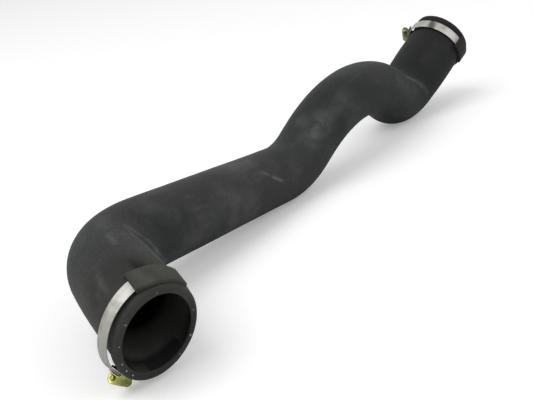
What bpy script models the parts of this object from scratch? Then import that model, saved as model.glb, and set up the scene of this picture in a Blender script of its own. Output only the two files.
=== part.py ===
"""Charge air hose with a worm-drive clamp on each end.

A moulded rubber hose is laid out as a bending table: a straight run, then a bend
with its own direction, angle and radius, from the near mouth to the far one. Each
end carries a loose worm-drive clamp, kept on the cuff by a bonded rubber strap.
Lengths are in millimetres and angles in degrees until a mesh is made.
"""

from __future__ import annotations

import math
from dataclasses import dataclass, field

import bmesh
import bpy
from mathutils import Matrix, Vector

MM = 0.001
GAP = 0.3  # left between neighbouring pieces that touch on the real hose


@dataclass(frozen=True)
class Bend:
    """One row of the bending table.

    straight is the run before the bend, towards the direction of the bend round
    the hose, angle how far it turns, radius that of the centreline, and outer the
    hose's outside diameter at the middle of the bend.
    """

    straight: float
    towards: float
    angle: float
    radius: float
    outer: float


@dataclass(frozen=True)
class Hose:
    """The moulded hose, from the near mouth to the far one."""

    heading: float = 61.04  # compass direction of the near leg, inwards from its mouth
    climb: float = 23.64  # rise of the near leg above the ground
    roll: float = 0.41  # turn of the whole hose about its near leg
    near_outer: float = 60.0
    far_outer: float = 57.6
    wall: float = 5.0
    bends: tuple[Bend, ...] = (
        Bend(24.0, -109.8, 23.2, 37.5, 60.0),
        Bend(33.2, -173.7, 63.3, 66.8, 57.0),
        Bend(163.3, 102.1, 40.6, 59.9, 50.2),
        Bend(11.3, -73.9, 72.3, 118.0, 51.4),
        Bend(2.6, 108.3, 68.3, 38.8, 53.6),
    )
    last_straight: float = 73.7
    far_cuff: float = 34.0  # parallel length at the far end
    trim: float = 16.0  # the near mouth is cut this much off square
    trim_short: float = 125.1  # side of the near mouth that is cut shortest
    bead: float = 0.7  # lip standing proud at each mouth
    bead_length: float = 2.2
    bead_fade: float = 1.2
    outer_edge: float = 1.2  # rounding of a mouth's outside edge
    inner_edge: float = 0.8  # rounding of its inside edge
    sides: int = 36
    bend_step: float = 7.5
    run_step: float = 30.0


@dataclass(frozen=True)
class Strip:
    """The steel band of a worm-drive clamp."""

    width: float = 9.0
    thickness: float = 0.7
    layer_gap: float = 0.2  # between the two layers where the band overlaps
    fixed_end: float = -8.0  # angle past the screw at which the inner end starts
    lift_from: float = 285.0  # where the band starts to climb over its own end
    lift_to: float = 346.0
    leave: float = 370.0  # where the free end leaves the loop
    tail: float = 18.0  # length of the free end past that
    step: float = 5.0


@dataclass(frozen=True)
class Screw:
    """The worm screw: pilot, thread, collar and slotted hexagon head."""

    worm_radius: float = 2.8
    thread_depth: float = 0.45
    pitch: float = 1.8
    pilot_radius: float = 1.55
    pilot_length: float = 1.9
    collar_radius: float = 3.2
    collar: float = 0.8
    across_flats: float = 6.0
    head: float = 4.2
    slot_width: float = 1.0
    slot_depth: float = 1.3
    sides: int = 20
    rings_per_turn: int = 5


@dataclass(frozen=True)
class Housing:
    """The pressed saddle that holds the screw over the band."""

    sheet: float = 0.6
    length: float = 10.0
    over_worm: float = 0.3
    pilot_clearance: float = 0.35
    arch_steps: int = 10


@dataclass(frozen=True)
class Strap:
    """The rubber strap bonded to the hose, with a tunnel for the band.

    shift is the angle from the point opposite the screw to the strap's middle.
    """

    width: float = 14.5
    half_arc: float = 33.0
    shift: float = 0.0
    cover: float = 1.5
    edge: float = 0.7
    step: float = 5.0


@dataclass(frozen=True)
class Clamp:
    """Where one clamp sits and how it hangs.

    station is the strap's distance in from the mouth, strap_at the side of the
    hose that carries it, loop the band's inside radius and lean the tilt of the
    loop about the strap, positive when its screw swings out towards the mouth.
    """

    name: str
    station: float
    strap_at: float
    loop: float
    lean: float
    strip: Strip = field(default_factory=Strip)
    screw: Screw = field(default_factory=Screw)
    housing: Housing = field(default_factory=Housing)
    strap: Strap = field(default_factory=Strap)


HOSE = Hose()
NEAR_CLAMP = Clamp(
    "near_clamp",
    20.0,
    HOSE.trim_short + 12.0,
    33.0,
    16.0,
    strap=Strap(half_arc=33.0, shift=25.0),
)
FAR_CLAMP = Clamp(
    "far_clamp",
    12.0,
    -158.0,
    29.9,
    -3.0,
    Strip(tail=10.0),
    strap=Strap(half_arc=24.0, shift=-7.0),
)


def smooth(value: float) -> float:
    """Ease from 0 to 1, flat at both ends."""
    value = min(1.0, max(0.0, value))
    return value * value * (3 - 2 * value)


def around(angle: float, radius: float = 1.0) -> Vector:
    """A point in the YZ plane of a section, by its angle in degrees."""
    turn = math.radians(angle)
    return Vector((0, math.cos(turn) * radius, math.sin(turn) * radius))


def material(name: str, colour: tuple, roughness: float, metallic: float):
    """A plain Principled BSDF material."""
    made = bpy.data.materials.new(name)
    made.use_nodes = True
    shader = made.node_tree.nodes["Principled BSDF"]
    shader.inputs["Base Color"].default_value = (*colour, 1)
    shader.inputs["Roughness"].default_value = roughness
    shader.inputs["Metallic"].default_value = metallic
    return made


def add_object(name, mesh_maker, finish, parent, smooth_below=40.0):
    """Turn a bmesh in millimetres into a named object under parent."""
    mesh = bpy.data.meshes.new(name)
    bmesh.ops.recalc_face_normals(mesh_maker, faces=mesh_maker.faces)
    bmesh.ops.scale(mesh_maker, vec=(MM, MM, MM), verts=mesh_maker.verts)
    mesh_maker.to_mesh(mesh)
    mesh_maker.free()
    mesh.shade_smooth()
    mesh.set_sharp_from_angle(angle=math.radians(smooth_below))
    mesh.materials.append(finish)
    made = bpy.data.objects.new(name, mesh)
    bpy.context.scene.collection.objects.link(made)
    made.parent = parent
    return made


def add_empty(name, frame, parent=None):
    """An empty at frame, whose place is in millimetres."""
    made = bpy.data.objects.new(name, None)
    bpy.context.scene.collection.objects.link(made)
    made.parent = parent
    placed = frame.copy()
    placed.translation = frame.translation * MM
    made.matrix_local = placed
    return made


def loft(work, sections, closed_ends=True, ring=True):
    """Skin equal rings of points into work and return the rings of vertices."""
    rows = [[work.verts.new(point) for point in section] for section in sections]
    for low, high in zip(rows, rows[1:]):
        count = len(low)
        for i in range(count if ring else count - 1):
            j = (i + 1) % count
            work.faces.new((low[i], low[j], high[j], high[i]))
    if closed_ends:
        work.faces.new(rows[0])
        work.faces.new(rows[-1])
    return rows


def bridge(work, first, second):
    """Join two rings of vertices with a band of faces."""
    for i in range(len(first)):
        j = (i + 1) % len(first)
        work.faces.new((first[i], first[j], second[j], second[i]))


def box(low, high):
    """A closed box mesh between two corners."""
    work = bmesh.new()
    bmesh.ops.create_cube(work, size=1)
    size = Vector(high) - Vector(low)
    bmesh.ops.scale(work, vec=size, verts=work.verts)
    bmesh.ops.translate(work, vec=(Vector(low) + Vector(high)) / 2, verts=work.verts)
    return work


def cut(target, cutter, operation="DIFFERENCE"):
    """Give target a Boolean with cutter, which is hidden."""
    cutter.hide_render = True
    cutter.display_type = "WIRE"
    change = target.modifiers.new(cutter.name, "BOOLEAN")
    change.operation = operation
    change.object = cutter


class Route:
    """The hose's centreline, walked from the bending table.

    A frame's X axis points along the hose and its Y and Z axes span the section,
    carried along without turning about X.
    """

    def __init__(self, hose: Hose) -> None:
        self.hose = hose
        turn = Matrix.Rotation(math.radians(hose.heading), 4, "Z")
        rise = Matrix.Rotation(math.radians(-hose.climb), 4, "Y")
        frame = turn @ rise @ Matrix.Rotation(math.radians(hose.roll), 4, "X")
        self.start = frame.copy()
        self.stations: list[tuple[float, Matrix]] = []
        self.sizes: list[tuple[float, float]] = [(0.0, hose.near_outer)]
        self.straight_ends: list[float] = []
        along = 0.0
        for bend in hose.bends:
            frame, along = self.run(frame, along, bend.straight)
            self.straight_ends.append(along)
            arc = math.radians(bend.angle) * bend.radius
            self.sizes.append((along + arc / 2, bend.outer))
            steps = max(2, math.ceil(bend.angle / hose.bend_step))
            for _ in range(steps):
                self.stations.append((along, frame.copy()))
                frame = frame @ self.turned(bend, bend.angle / steps)
                along += arc / steps
        frame, along = self.run(frame, along, hose.last_straight)
        self.stations.append((along, frame.copy()))
        self.length = along
        self.end = frame
        self.sizes.append((along - hose.far_cuff, hose.far_outer))
        self.sizes.append((along, hose.far_outer))

    def run(self, frame: Matrix, along: float, length: float):
        """Walk a straight run, leaving stations along it."""
        steps = max(1, math.ceil(length / self.hose.run_step))
        for _ in range(steps):
            self.stations.append((along, frame.copy()))
            frame = frame @ Matrix.Translation((length / steps, 0, 0))
            along += length / steps
        return frame, along

    @staticmethod
    def turned(bend: Bend, angle: float) -> Matrix:
        """The step of a frame round part of a bend."""
        inwards = around(bend.towards)
        axis = Vector((1, 0, 0)).cross(inwards)
        turn = Matrix.Rotation(math.radians(angle), 4, axis)
        centre = inwards * bend.radius
        return Matrix.Translation(centre) @ turn @ Matrix.Translation(-centre)

    def outer_radius(self, along: float) -> float:
        """Outside radius of the plain hose at a distance from the near mouth."""
        for (a, low), (b, high) in zip(self.sizes, self.sizes[1:]):
            if along <= b:
                return (low + (high - low) * smooth((along - a) / (b - a))) / 2
        return self.sizes[-1][1] / 2

    def frame_at(self, along: float) -> Matrix:
        """The frame at a distance from the near mouth, on its nearest station."""
        place, frame = max(
            (item for item in self.stations if item[0] <= along + 1e-6),
            key=lambda item: item[0],
        )
        return frame @ Matrix.Translation((along - place, 0, 0))


class HoseBody:
    """Builds the moulded hose, open at both ends."""

    def __init__(self, hose: Hose, route: Route) -> None:
        self.hose = hose
        self.route = route

    def bead_at(self, along: float) -> float:
        """How far the lip stands proud at a distance from the nearer mouth."""
        past = (along - self.hose.bead_length) / self.hose.bead_fade
        return self.hose.bead * (1 - smooth(past))

    def ring(self, along: float, radius: float) -> list[Vector]:
        """A section's points. Those before the first bend follow the trimmed mouth."""
        frame = self.route.frame_at(along)
        straight = self.hose.bends[0].straight
        lean = math.tan(math.radians(self.hose.trim)) * max(0, 1 - along / straight)
        points = []
        for i in range(self.hose.sides):
            angle = self.hose.trim_short + 360 * i / self.hose.sides
            point = around(angle, radius)
            point.x = lean * radius * math.cos(math.radians(angle - self.hose.trim_short))
            points.append(frame @ point)
        return points

    def edge_steps(self, size: float, count: int = 3) -> list[tuple[float, float]]:
        """Setback and drop of the points of a rounded edge, from the end face."""
        turns = [math.pi / 2 * i / count for i in range(count + 1)]
        return [(size * (1 - math.cos(t)), size * (1 - math.sin(t))) for t in turns]

    def profile(self, inside: bool) -> list[tuple[float, float]]:
        """(distance, radius) of each ring of the outer or the inner surface."""
        hose, route = self.hose, self.route
        size = hose.inner_edge if inside else hose.outer_edge

        def radius(along: float) -> float:
            if inside:
                return route.outer_radius(along) - hose.wall
            end = min(along, route.length - along)
            return route.outer_radius(along) + self.bead_at(end)

        edge = self.edge_steps(size)
        sign = 1 if inside else -1
        near = [(s, radius(0) + sign * drop) for s, drop in edge]
        last = [(route.length - s, radius(route.length) + sign * d) for s, d in edge]
        bead = [hose.bead_length, hose.bead_length + hose.bead_fade / 2]
        bead.append(hose.bead_length + hose.bead_fade)
        places = {round(s, 3) for s, _ in route.stations}
        if not inside:
            places |= set(bead) | {route.length - s for s in bead}
        clear = size + 1.0
        middle = [
            (s, radius(s)) for s in sorted(places) if clear < s < route.length - clear
        ]
        return near + middle + last[::-1]

    def build(self, finish, parent):
        """Skin both surfaces and close the two end faces between them."""
        work = bmesh.new()
        outer = [self.ring(s, r) for s, r in self.profile(inside=False)]
        inner = [self.ring(s, r) for s, r in self.profile(inside=True)]
        outside = loft(work, outer, closed_ends=False)
        inside = loft(work, inner, closed_ends=False)
        bridge(work, outside[0], inside[0])
        bridge(work, outside[-1], inside[-1])
        return add_object("hose_body", work, finish, parent)


class ClampBuilder:
    """Builds one clamp in its own frame.

    The frame's origin is on the hose's axis at the strap's station. Z points out
    of the mouth and X at the strap. The loop's frame leans about the strap, and
    its screw is on its -X side, with the head towards -Y.
    """

    def __init__(self, clamp: Clamp, hose_radius: float) -> None:
        self.clamp = clamp
        self.hose_radius = hose_radius
        seat = hose_radius + GAP
        lean = math.radians(clamp.lean)
        centre = (seat - clamp.loop * math.cos(lean), 0, clamp.loop * math.sin(lean))
        self.loop_frame = Matrix.Translation(centre) @ Matrix.Rotation(lean, 4, "Y")
        strip, screw = clamp.strip, clamp.screw
        self.layers = 2 * strip.thickness + strip.layer_gap
        self.screw_height = self.layers + 0.4 + screw.worm_radius
        axes = Matrix(((0, -1, 0), (-1, 0, 0), (0, 0, -1))).to_4x4()
        at_screw = Matrix.Translation((-clamp.loop, 0, 0)) @ axes
        self.saddle_frame = self.loop_frame @ at_screw
        self.screw_frame = self.saddle_frame @ Matrix.Translation(
            (0, self.screw_height, 0)
        )

    def strip_sections(self) -> list[list[Vector]]:
        """Rectangular sections along the band, from its fixed end to its tip."""
        strip, loop = self.clamp.strip, self.clamp.loop
        across_hose = self.loop_frame.to_3x3().inverted() @ Vector((0, 0, 1))
        sections = []

        def section(place, tangent, share, half):
            across = Vector((0, 0, 1)).lerp(across_hose, share)
            across = (across - tangent * across.dot(tangent)).normalized()
            out = tangent.cross(across)
            corners = ((-half, 0), (half, 0), (half, 1), (-half, 1))
            sections.append(
                [
                    self.loop_frame @ (place + across * w + out * h * strip.thickness)
                    for w, h in corners
                ]
            )

        def on_loop(angle):
            rise = smooth(
                (angle - strip.lift_from) / (strip.lift_to - strip.lift_from)
            )
            radius = loop + rise * (strip.thickness + strip.layer_gap)
            turn = math.radians(angle)
            place = Vector((-math.cos(turn), -math.sin(turn), 0)) * radius
            return place, Vector((math.sin(turn), -math.cos(turn), 0))

        sweep = strip.leave - strip.fixed_end
        count = math.ceil(sweep / strip.step)
        for i in range(count + 1):
            angle = strip.fixed_end + sweep * i / count
            place, tangent = on_loop(angle)
            share = (1 - math.cos(math.radians(angle))) / 2
            section(place, tangent, share, strip.width / 2)
        place, tangent = on_loop(strip.leave)
        full = strip.width / 2
        straight = strip.tail - full
        section(place + tangent * straight, tangent, 0, full)
        for turn in (20, 40, 60, 78):
            reach = straight + full * math.sin(math.radians(turn))
            half = full * math.cos(math.radians(turn))
            section(place + tangent * reach, tangent, 0, half)
        return sections

    def build_strip(self, finish, parent):
        work = bmesh.new()
        loft(work, self.strip_sections())
        return add_object(f"{self.clamp.name}_band", work, finish, parent, 30)

    def saddle_profile(self, offset: float) -> list[Vector]:
        """The saddle's section in YZ, at a distance out from its inside face."""
        clamp, housing = self.clamp, self.clamp.housing
        half = clamp.strip.width / 2 + GAP + offset
        drop = clamp.loop - math.sqrt(clamp.loop**2 - (housing.length / 2) ** 2)
        low = -(drop + GAP) - offset
        shoulder = self.layers + GAP + offset
        arch = clamp.screw.worm_radius + housing.over_worm + offset
        points = [(low, half), (shoulder, half)]
        for i in range(housing.arch_steps + 1):
            turn = math.pi * i / housing.arch_steps
            y = self.screw_height + arch * math.sin(turn)
            points.append((y, arch * math.cos(turn)))
        points.insert(2, (shoulder, arch))
        points += [(shoulder, -arch), (shoulder, -half), (low, -half)]
        return [Vector((0, y, z)) for y, z in points]

    def build_housing(self, finish, parent):
        housing, screw = self.clamp.housing, self.clamp.screw
        half = housing.length / 2
        work = bmesh.new()
        ends = (Vector((-half, 0, 0)), Vector((half, 0, 0)))
        inner, outer = self.saddle_profile(0), self.saddle_profile(housing.sheet)
        outside = loft(work, [[p + e for p in outer] for e in ends], False)
        inside = loft(work, [[p + e for p in inner] for e in ends], False)
        bridge(work, outside[0], inside[0])
        bridge(work, outside[1], inside[1])
        name = f"{self.clamp.name}_housing"
        made = add_object(name, work, finish, parent)
        arch = screw.worm_radius + housing.over_worm
        sink = housing.sheet / 2
        plate = bmesh.new()
        x0, x1 = -half + 0.05, -half + housing.sheet
        outline = [(self.layers + GAP + sink, -arch - sink)]
        for i in range(housing.arch_steps + 1):
            turn = math.pi * i / housing.arch_steps
            y = self.screw_height + (arch + sink) * math.sin(turn)
            outline.append((y, -(arch + sink) * math.cos(turn)))
        outline.append((self.layers + GAP + sink, arch + sink))
        loft(plate, [[Vector((x, y, z)) for y, z in outline] for x in (x0, x1)])
        wall = add_object(f"{name}_end", plate, finish, parent)
        cut(made, wall, "UNION")
        hole = bmesh.new()
        reach = housing.sheet
        radius = screw.pilot_radius + housing.pilot_clearance
        sides = [360 * i / screw.sides for i in range(screw.sides)]
        centre = Vector((0, self.screw_height, 0))
        loft(
            hole,
            [
                [centre + Vector((x, 0, 0)) + around(a, radius) for a in sides]
                for x in (x0 - reach, x1 + reach)
            ],
        )
        drill = add_object(f"{name}_drill", hole, finish, parent)
        cut(made, drill)
        return made

    def screw_rings(self) -> list[tuple[float, float, bool, bool]]:
        """(x, radius, threaded, hexagonal) of each ring of the screw."""
        screw, housing = self.clamp.screw, self.clamp.housing
        half = housing.length / 2
        wall_inside = -half + housing.sheet
        tip = wall_inside + GAP - screw.pilot_length
        start = wall_inside + GAP
        end = half + GAP
        rings = [
            (tip, screw.pilot_radius - 0.3, False, False),
            (tip + 0.3, screw.pilot_radius, False, False),
            (start, screw.pilot_radius, False, False),
            (start, screw.worm_radius - screw.thread_depth, False, False),
        ]
        thread = end - 0.4 - (start + 0.4)
        count = round(thread / screw.pitch * screw.rings_per_turn)
        for i in range(count + 1):
            x = start + 0.4 + thread * i / count
            rings.append((x, screw.worm_radius, True, False))
        head = end + screw.collar
        rings += [
            (end, screw.worm_radius - screw.thread_depth, False, False),
            (end, screw.collar_radius, False, False),
            (head, screw.collar_radius, False, False),
            (head + 0.05, screw.across_flats / 2, False, True),
            (head + screw.head - 0.5, screw.across_flats / 2, False, True),
            (head + screw.head, screw.across_flats / 2 - 0.35, False, False),
        ]
        return rings

    def build_screw(self, finish, parent):
        screw = self.clamp.screw
        sections = []
        for x, radius, threaded, hexagonal in self.screw_rings():
            points = []
            for i in range(screw.sides):
                angle = 360 * i / screw.sides
                reach = radius
                if threaded:
                    phase = 2 * math.pi * x / screw.pitch - math.radians(angle)
                    reach -= screw.thread_depth * (1 - math.cos(phase)) / 2
                if hexagonal:
                    reach /= math.cos(math.radians((angle + 30) % 60 - 30))
                points.append(Vector((x, 0, 0)) + around(angle, reach))
            sections.append(points)
        work = bmesh.new()
        loft(work, sections)
        made = add_object(f"{self.clamp.name}_screw", work, finish, parent, 35)
        top = self.screw_rings()[-1][0]
        wide = screw.across_flats
        low = (top - screw.slot_depth, -wide, -screw.slot_width / 2)
        slot = box(low, (top + 1, wide, screw.slot_width / 2))
        cutter = add_object(f"{self.clamp.name}_slot", slot, finish, parent)
        cut(made, cutter)
        return made

    def build_strap(self, finish, parent):
        """The bonded strap, whose tunnel follows the band under it."""
        strap, strip, loop = self.clamp.strap, self.clamp.strip, self.clamp.loop
        foot = self.hose_radius + GAP
        count = 2 * math.ceil(strap.half_arc / strap.step)
        first = strap.shift - strap.half_arc
        turns = [first + 2 * strap.half_arc * i / count for i in range(count + 1)]
        bevel = math.degrees(strap.edge / foot)
        turns = [turns[0], turns[0] + bevel, *turns[1:-1], turns[-1] - bevel, turns[-1]]
        lean = math.radians(self.clamp.lean)
        widest = math.radians(strap.half_arc + abs(strap.shift))
        drift = loop * math.sin(lean) * (1 - math.cos(widest))
        reach = strip.width / 2 + GAP + abs(drift) / 2
        half = strap.width / 2
        work = bmesh.new()
        sections = []
        for k, turn in enumerate(turns):
            angle = math.radians(turn)
            place = self.loop_frame @ (
                Vector((math.cos(angle), math.sin(angle), 0)) * loop
            )
            radial = Vector((place.x, place.y, 0))
            roof = radial.length + strip.thickness + GAP
            radial.normalize()
            cover = strap.cover - (strap.edge if k in (0, len(turns) - 1) else 0)
            top = roof + cover
            edge = strap.edge
            shape = (
                (-half, foot),
                (-half, top - edge),
                (-half + edge, top),
                (half - edge, top),
                (half, top - edge),
                (half, foot),
                (reach, foot),
                (reach, roof),
                (-reach, roof),
                (-reach, foot),
            )
            middle = Vector((0, 0, drift / 2))
            sections.append([middle + radial * r + Vector((0, 0, z)) for z, r in shape])
        loft(work, sections)
        return add_object(f"{self.clamp.name}_strap", work, finish, parent)


def stand_on_ground(root) -> None:
    """Move the whole hose so that it lies on Z = 0, centred over the origin."""
    bpy.context.view_layer.update()
    graph = bpy.context.evaluated_depsgraph_get()
    points = []
    for piece in bpy.context.scene.objects:
        if piece.type != "MESH" or piece.hide_render:
            continue
        mesh = piece.evaluated_get(graph).to_mesh()
        points += [piece.matrix_world @ vertex.co for vertex in mesh.vertices]
    low = Vector([min(point[i] for point in points) for i in range(3)])
    high = Vector([max(point[i] for point in points) for i in range(3)])
    middle = (low + high) / 2
    root.location -= Vector((middle.x, middle.y, low.z))
    bpy.context.view_layer.update()


def main() -> None:
    for leftover in list(bpy.data.objects):
        bpy.data.objects.remove(leftover, do_unlink=True)
    rubber = material("hose_rubber", (0.032, 0.034, 0.033), 0.62, 0.0)
    strap_rubber = material("strap_rubber", (0.038, 0.040, 0.036), 0.58, 0.0)
    steel = material("band_steel", (0.60, 0.60, 0.58), 0.32, 1.0)
    plated = material("plated_steel", (0.62, 0.60, 0.38), 0.35, 1.0)

    root = add_empty("hose_root", Matrix.Identity(4))
    route = Route(HOSE)
    HoseBody(HOSE, route).build(rubber, root)
    out_of_mouth = Matrix(((0, 0, -1), (1, 0, 0), (0, -1, 0))).to_4x4()
    into_mouth = Matrix(((0, 0, 1), (1, 0, 0), (0, 1, 0))).to_4x4()
    ends = (
        (NEAR_CLAMP, route.frame_at(NEAR_CLAMP.station), out_of_mouth, HOSE.near_outer),
        (
            FAR_CLAMP,
            route.end @ Matrix.Translation((-FAR_CLAMP.station, 0, 0)),
            into_mouth,
            HOSE.far_outer,
        ),
    )
    for clamp, frame, facing, outer in ends:
        side = Matrix.Rotation(math.radians(clamp.strap_at), 4, "X")
        seat = add_empty(f"{clamp.name}_seat", frame @ side @ facing, root)
        builder = ClampBuilder(clamp, outer / 2)
        saddle = add_empty(f"{clamp.name}_saddle", builder.saddle_frame, seat)
        axis = add_empty(f"{clamp.name}_screw_axis", builder.screw_frame, seat)
        builder.build_strap(strap_rubber, seat)
        builder.build_strip(steel, seat)
        builder.build_housing(plated, saddle)
        builder.build_screw(plated, axis)
    stand_on_ground(root)


if __name__ == "__main__":
    main()
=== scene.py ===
"""Looks of a moulded charge air hose with a loose worm-drive clamp on each end.

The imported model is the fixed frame. Over it this script lays a fine rubber skin that
follows the same bending table, the yarn ends that show in the near cut face, the
bonded straps, and the two clamps with their embossed bands, pressed housings and worm
screws. Sizes are in millimetres and degrees until a mesh is placed.
"""

from __future__ import annotations

import logging
import math
from dataclasses import dataclass
from enum import Enum
from typing import Sequence

import bmesh
import bpy
import numpy as np
from bmesh.types import BMesh, BMVert
from bpy.types import Material, Node, NodeSocket, Object
from mathutils import Euler, Matrix, Vector, noise

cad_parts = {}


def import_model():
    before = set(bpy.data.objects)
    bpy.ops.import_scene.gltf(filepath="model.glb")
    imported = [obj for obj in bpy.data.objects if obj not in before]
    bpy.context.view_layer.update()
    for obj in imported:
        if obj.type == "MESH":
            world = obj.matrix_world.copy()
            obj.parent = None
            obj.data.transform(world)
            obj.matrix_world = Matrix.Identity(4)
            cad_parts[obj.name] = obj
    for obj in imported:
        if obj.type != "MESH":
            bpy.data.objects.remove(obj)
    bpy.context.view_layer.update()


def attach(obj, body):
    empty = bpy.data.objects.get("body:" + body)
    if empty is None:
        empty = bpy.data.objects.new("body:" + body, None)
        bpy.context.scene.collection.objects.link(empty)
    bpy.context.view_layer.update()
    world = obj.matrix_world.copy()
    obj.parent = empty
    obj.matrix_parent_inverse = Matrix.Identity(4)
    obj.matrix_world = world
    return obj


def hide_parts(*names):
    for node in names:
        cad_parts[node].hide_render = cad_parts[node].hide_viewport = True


MM = 0.001
CLEARANCE = 0.3
ARCH_STEPS = 24
HOLE_SIDES = 48
LOG = logging.getLogger("charge_air_hose")

Colour = tuple[float, float, float]
Place = tuple[float, float, float]
Outline = list[tuple[float, float]]
Seat = tuple[Vector, Vector, Vector]


class Slot(Enum):
    """The record's material slots."""

    HOSE = "hose_rubber"
    STRAP = "strap_rubber"
    BAND = "band_steel"
    PLATED = "plated_steel"


class Body(Enum):
    """The bodies that pieces ride on."""

    HOSE = "hose"
    NEAR_SCREW = "near_screw"
    FAR_SCREW = "far_screw"


class End(Enum):
    """The hose's two ends, by the name of the clamp that each carries."""

    NEAR = "near_clamp"
    FAR = "far_clamp"


def ease(value: float) -> float:
    """Ease from 0 to 1, flat at both ends."""
    value = min(1.0, max(0.0, value))
    return value * value * (3 - 2 * value)


def around(angle: float, radius: float = 1.0) -> Vector:
    """Give a point in a section's YZ plane by its angle in degrees."""
    turn = math.radians(angle)
    return Vector((0.0, math.cos(turn) * radius, math.sin(turn) * radius))


class Tree:
    """A node tree, built up by short calls."""

    def __init__(self, tree: bpy.types.NodeTree) -> None:
        """Start on a tree.

        Args:
            tree: the tree to build.
        """
        self.tree = tree

    def feed(self, socket: NodeSocket, value: object) -> None:
        """Link an output to a socket, or set the socket's own value.

        Args:
            socket: the socket to feed.
            value: an output, or a value that the socket can hold.
        """
        if isinstance(value, NodeSocket):
            self.tree.links.new(value, socket)
        else:
            socket.default_value = value

    def add(
        self,
        kind: str,
        inputs: dict[str | int, object] | None = None,
        **settings: object,
    ) -> Node:
        """Add a node, set it up and feed its inputs.

        Args:
            kind: the node's type name.
            inputs: values or outputs by socket name or index.
            settings: attributes to set on it.

        Returns:
            The node.
        """
        node = self.tree.nodes.new(kind)
        for key, value in settings.items():
            setattr(node, key, value)
        for key, value in (inputs or {}).items():
            self.feed(node.inputs[key], value)
        return node


class Sketch(Tree):
    """A material's nodes, round its Principled shader."""

    def __init__(self, name: str) -> None:
        """Start a material.

        Args:
            name: the material's name.
        """
        self.material = bpy.data.materials.new(name)
        self.material.use_nodes = True
        super().__init__(self.material.node_tree)
        self.shader = self.tree.nodes["Principled BSDF"]
        self.place = self.add("ShaderNodeTexCoord").outputs["Object"]

    def noise(
        self,
        scale: float,
        detail: float,
        rough: float,
        place: NodeSocket | None = None,
        stretch: Place | None = None,
    ) -> NodeSocket:
        """Add a noise texture.

        Args:
            scale: features per metre.
            detail: number of octaves.
            rough: how strong the finer octaves are.
            place: coordinates, or None for the object's own.
            stretch: scale of the coordinates along X, Y and Z.

        Returns:
            The noise's value, about 0.5 on average.
        """
        where = place or self.place
        if stretch:
            mapped = {"Vector": where, "Scale": stretch}
            where = self.add("ShaderNodeMapping", mapped).outputs["Vector"]
        inputs = {"Vector": where, "Scale": scale, "Detail": detail, "Roughness": rough}
        return self.add("ShaderNodeTexNoise", inputs).outputs["Fac"]

    def spots(self, scale: float) -> NodeSocket:
        """Add Voronoi cells and give the distance to the nearest one's centre."""
        inputs = {"Vector": self.place, "Scale": scale}
        return self.add("ShaderNodeTexVoronoi", inputs).outputs["Distance"]

    def attribute(self, name: str, part: str = "Fac") -> NodeSocket:
        """Read a named attribute of the mesh."""
        return self.add("ShaderNodeAttribute", attribute_name=name).outputs[part]

    def times(self, first: object, second: object) -> NodeSocket:
        """Multiply two values, clamped to 0 and 1."""
        settings = {"operation": "MULTIPLY", "use_clamp": True}
        return self.add("ShaderNodeMath", {0: first, 1: second}, **settings).outputs[0]

    def spread(
        self, value: object, low: float, high: float, to_low: float, to_high: float
    ) -> NodeSocket:
        """Map a value smoothly from one range to another.

        Args:
            value: the value to map.
            low: start of its range.
            high: end of its range.
            to_low: what the start maps to.
            to_high: what the end maps to.

        Returns:
            The mapped value.
        """
        keys = ("Value", "From Min", "From Max", "To Min", "To Max")
        inputs = dict(zip(keys, (value, low, high, to_low, to_high)))
        node = self.add("ShaderNodeMapRange", inputs, interpolation_type="SMOOTHSTEP")
        return node.outputs["Result"]

    def mix(self, share: object, first: object, second: object) -> NodeSocket:
        """Mix two colours.

        Args:
            share: how much of the second shows.
            first: a colour or an output.
            second: a colour or an output.

        Returns:
            The mixed colour.
        """
        node = self.add("ShaderNodeMix", {"Factor": share}, data_type="RGBA")
        colours = [s for s in node.inputs if s.type == "RGBA"]
        for socket, value in zip(colours, (first, second)):
            self.feed(socket, (*value, 1.0) if isinstance(value, tuple) else value)
        return next(s for s in node.outputs if s.type == "RGBA")

    def bump(
        self,
        height: object,
        distance: float,
        strength: float,
        over: NodeSocket | None = None,
    ) -> NodeSocket:
        """Add a bump of a given depth in metres, over another normal if given.

        Args:
            height: the height, from 0 to 1.
            distance: the depth in metres.
            strength: how much of it shows.
            over: another normal that it lies on, or None.

        Returns:
            The bumped normal.
        """
        inputs = {"Strength": strength, "Distance": distance, "Height": height}
        if over is not None:
            inputs["Normal"] = over
        return self.add("ShaderNodeBump", inputs).outputs["Normal"]

    def set(self, **values: object) -> None:
        """Feed the shader's sockets, named with _ for spaces."""
        for key, value in values.items():
            self.feed(self.shader.inputs[key.replace("_", " ")], value)


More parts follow.
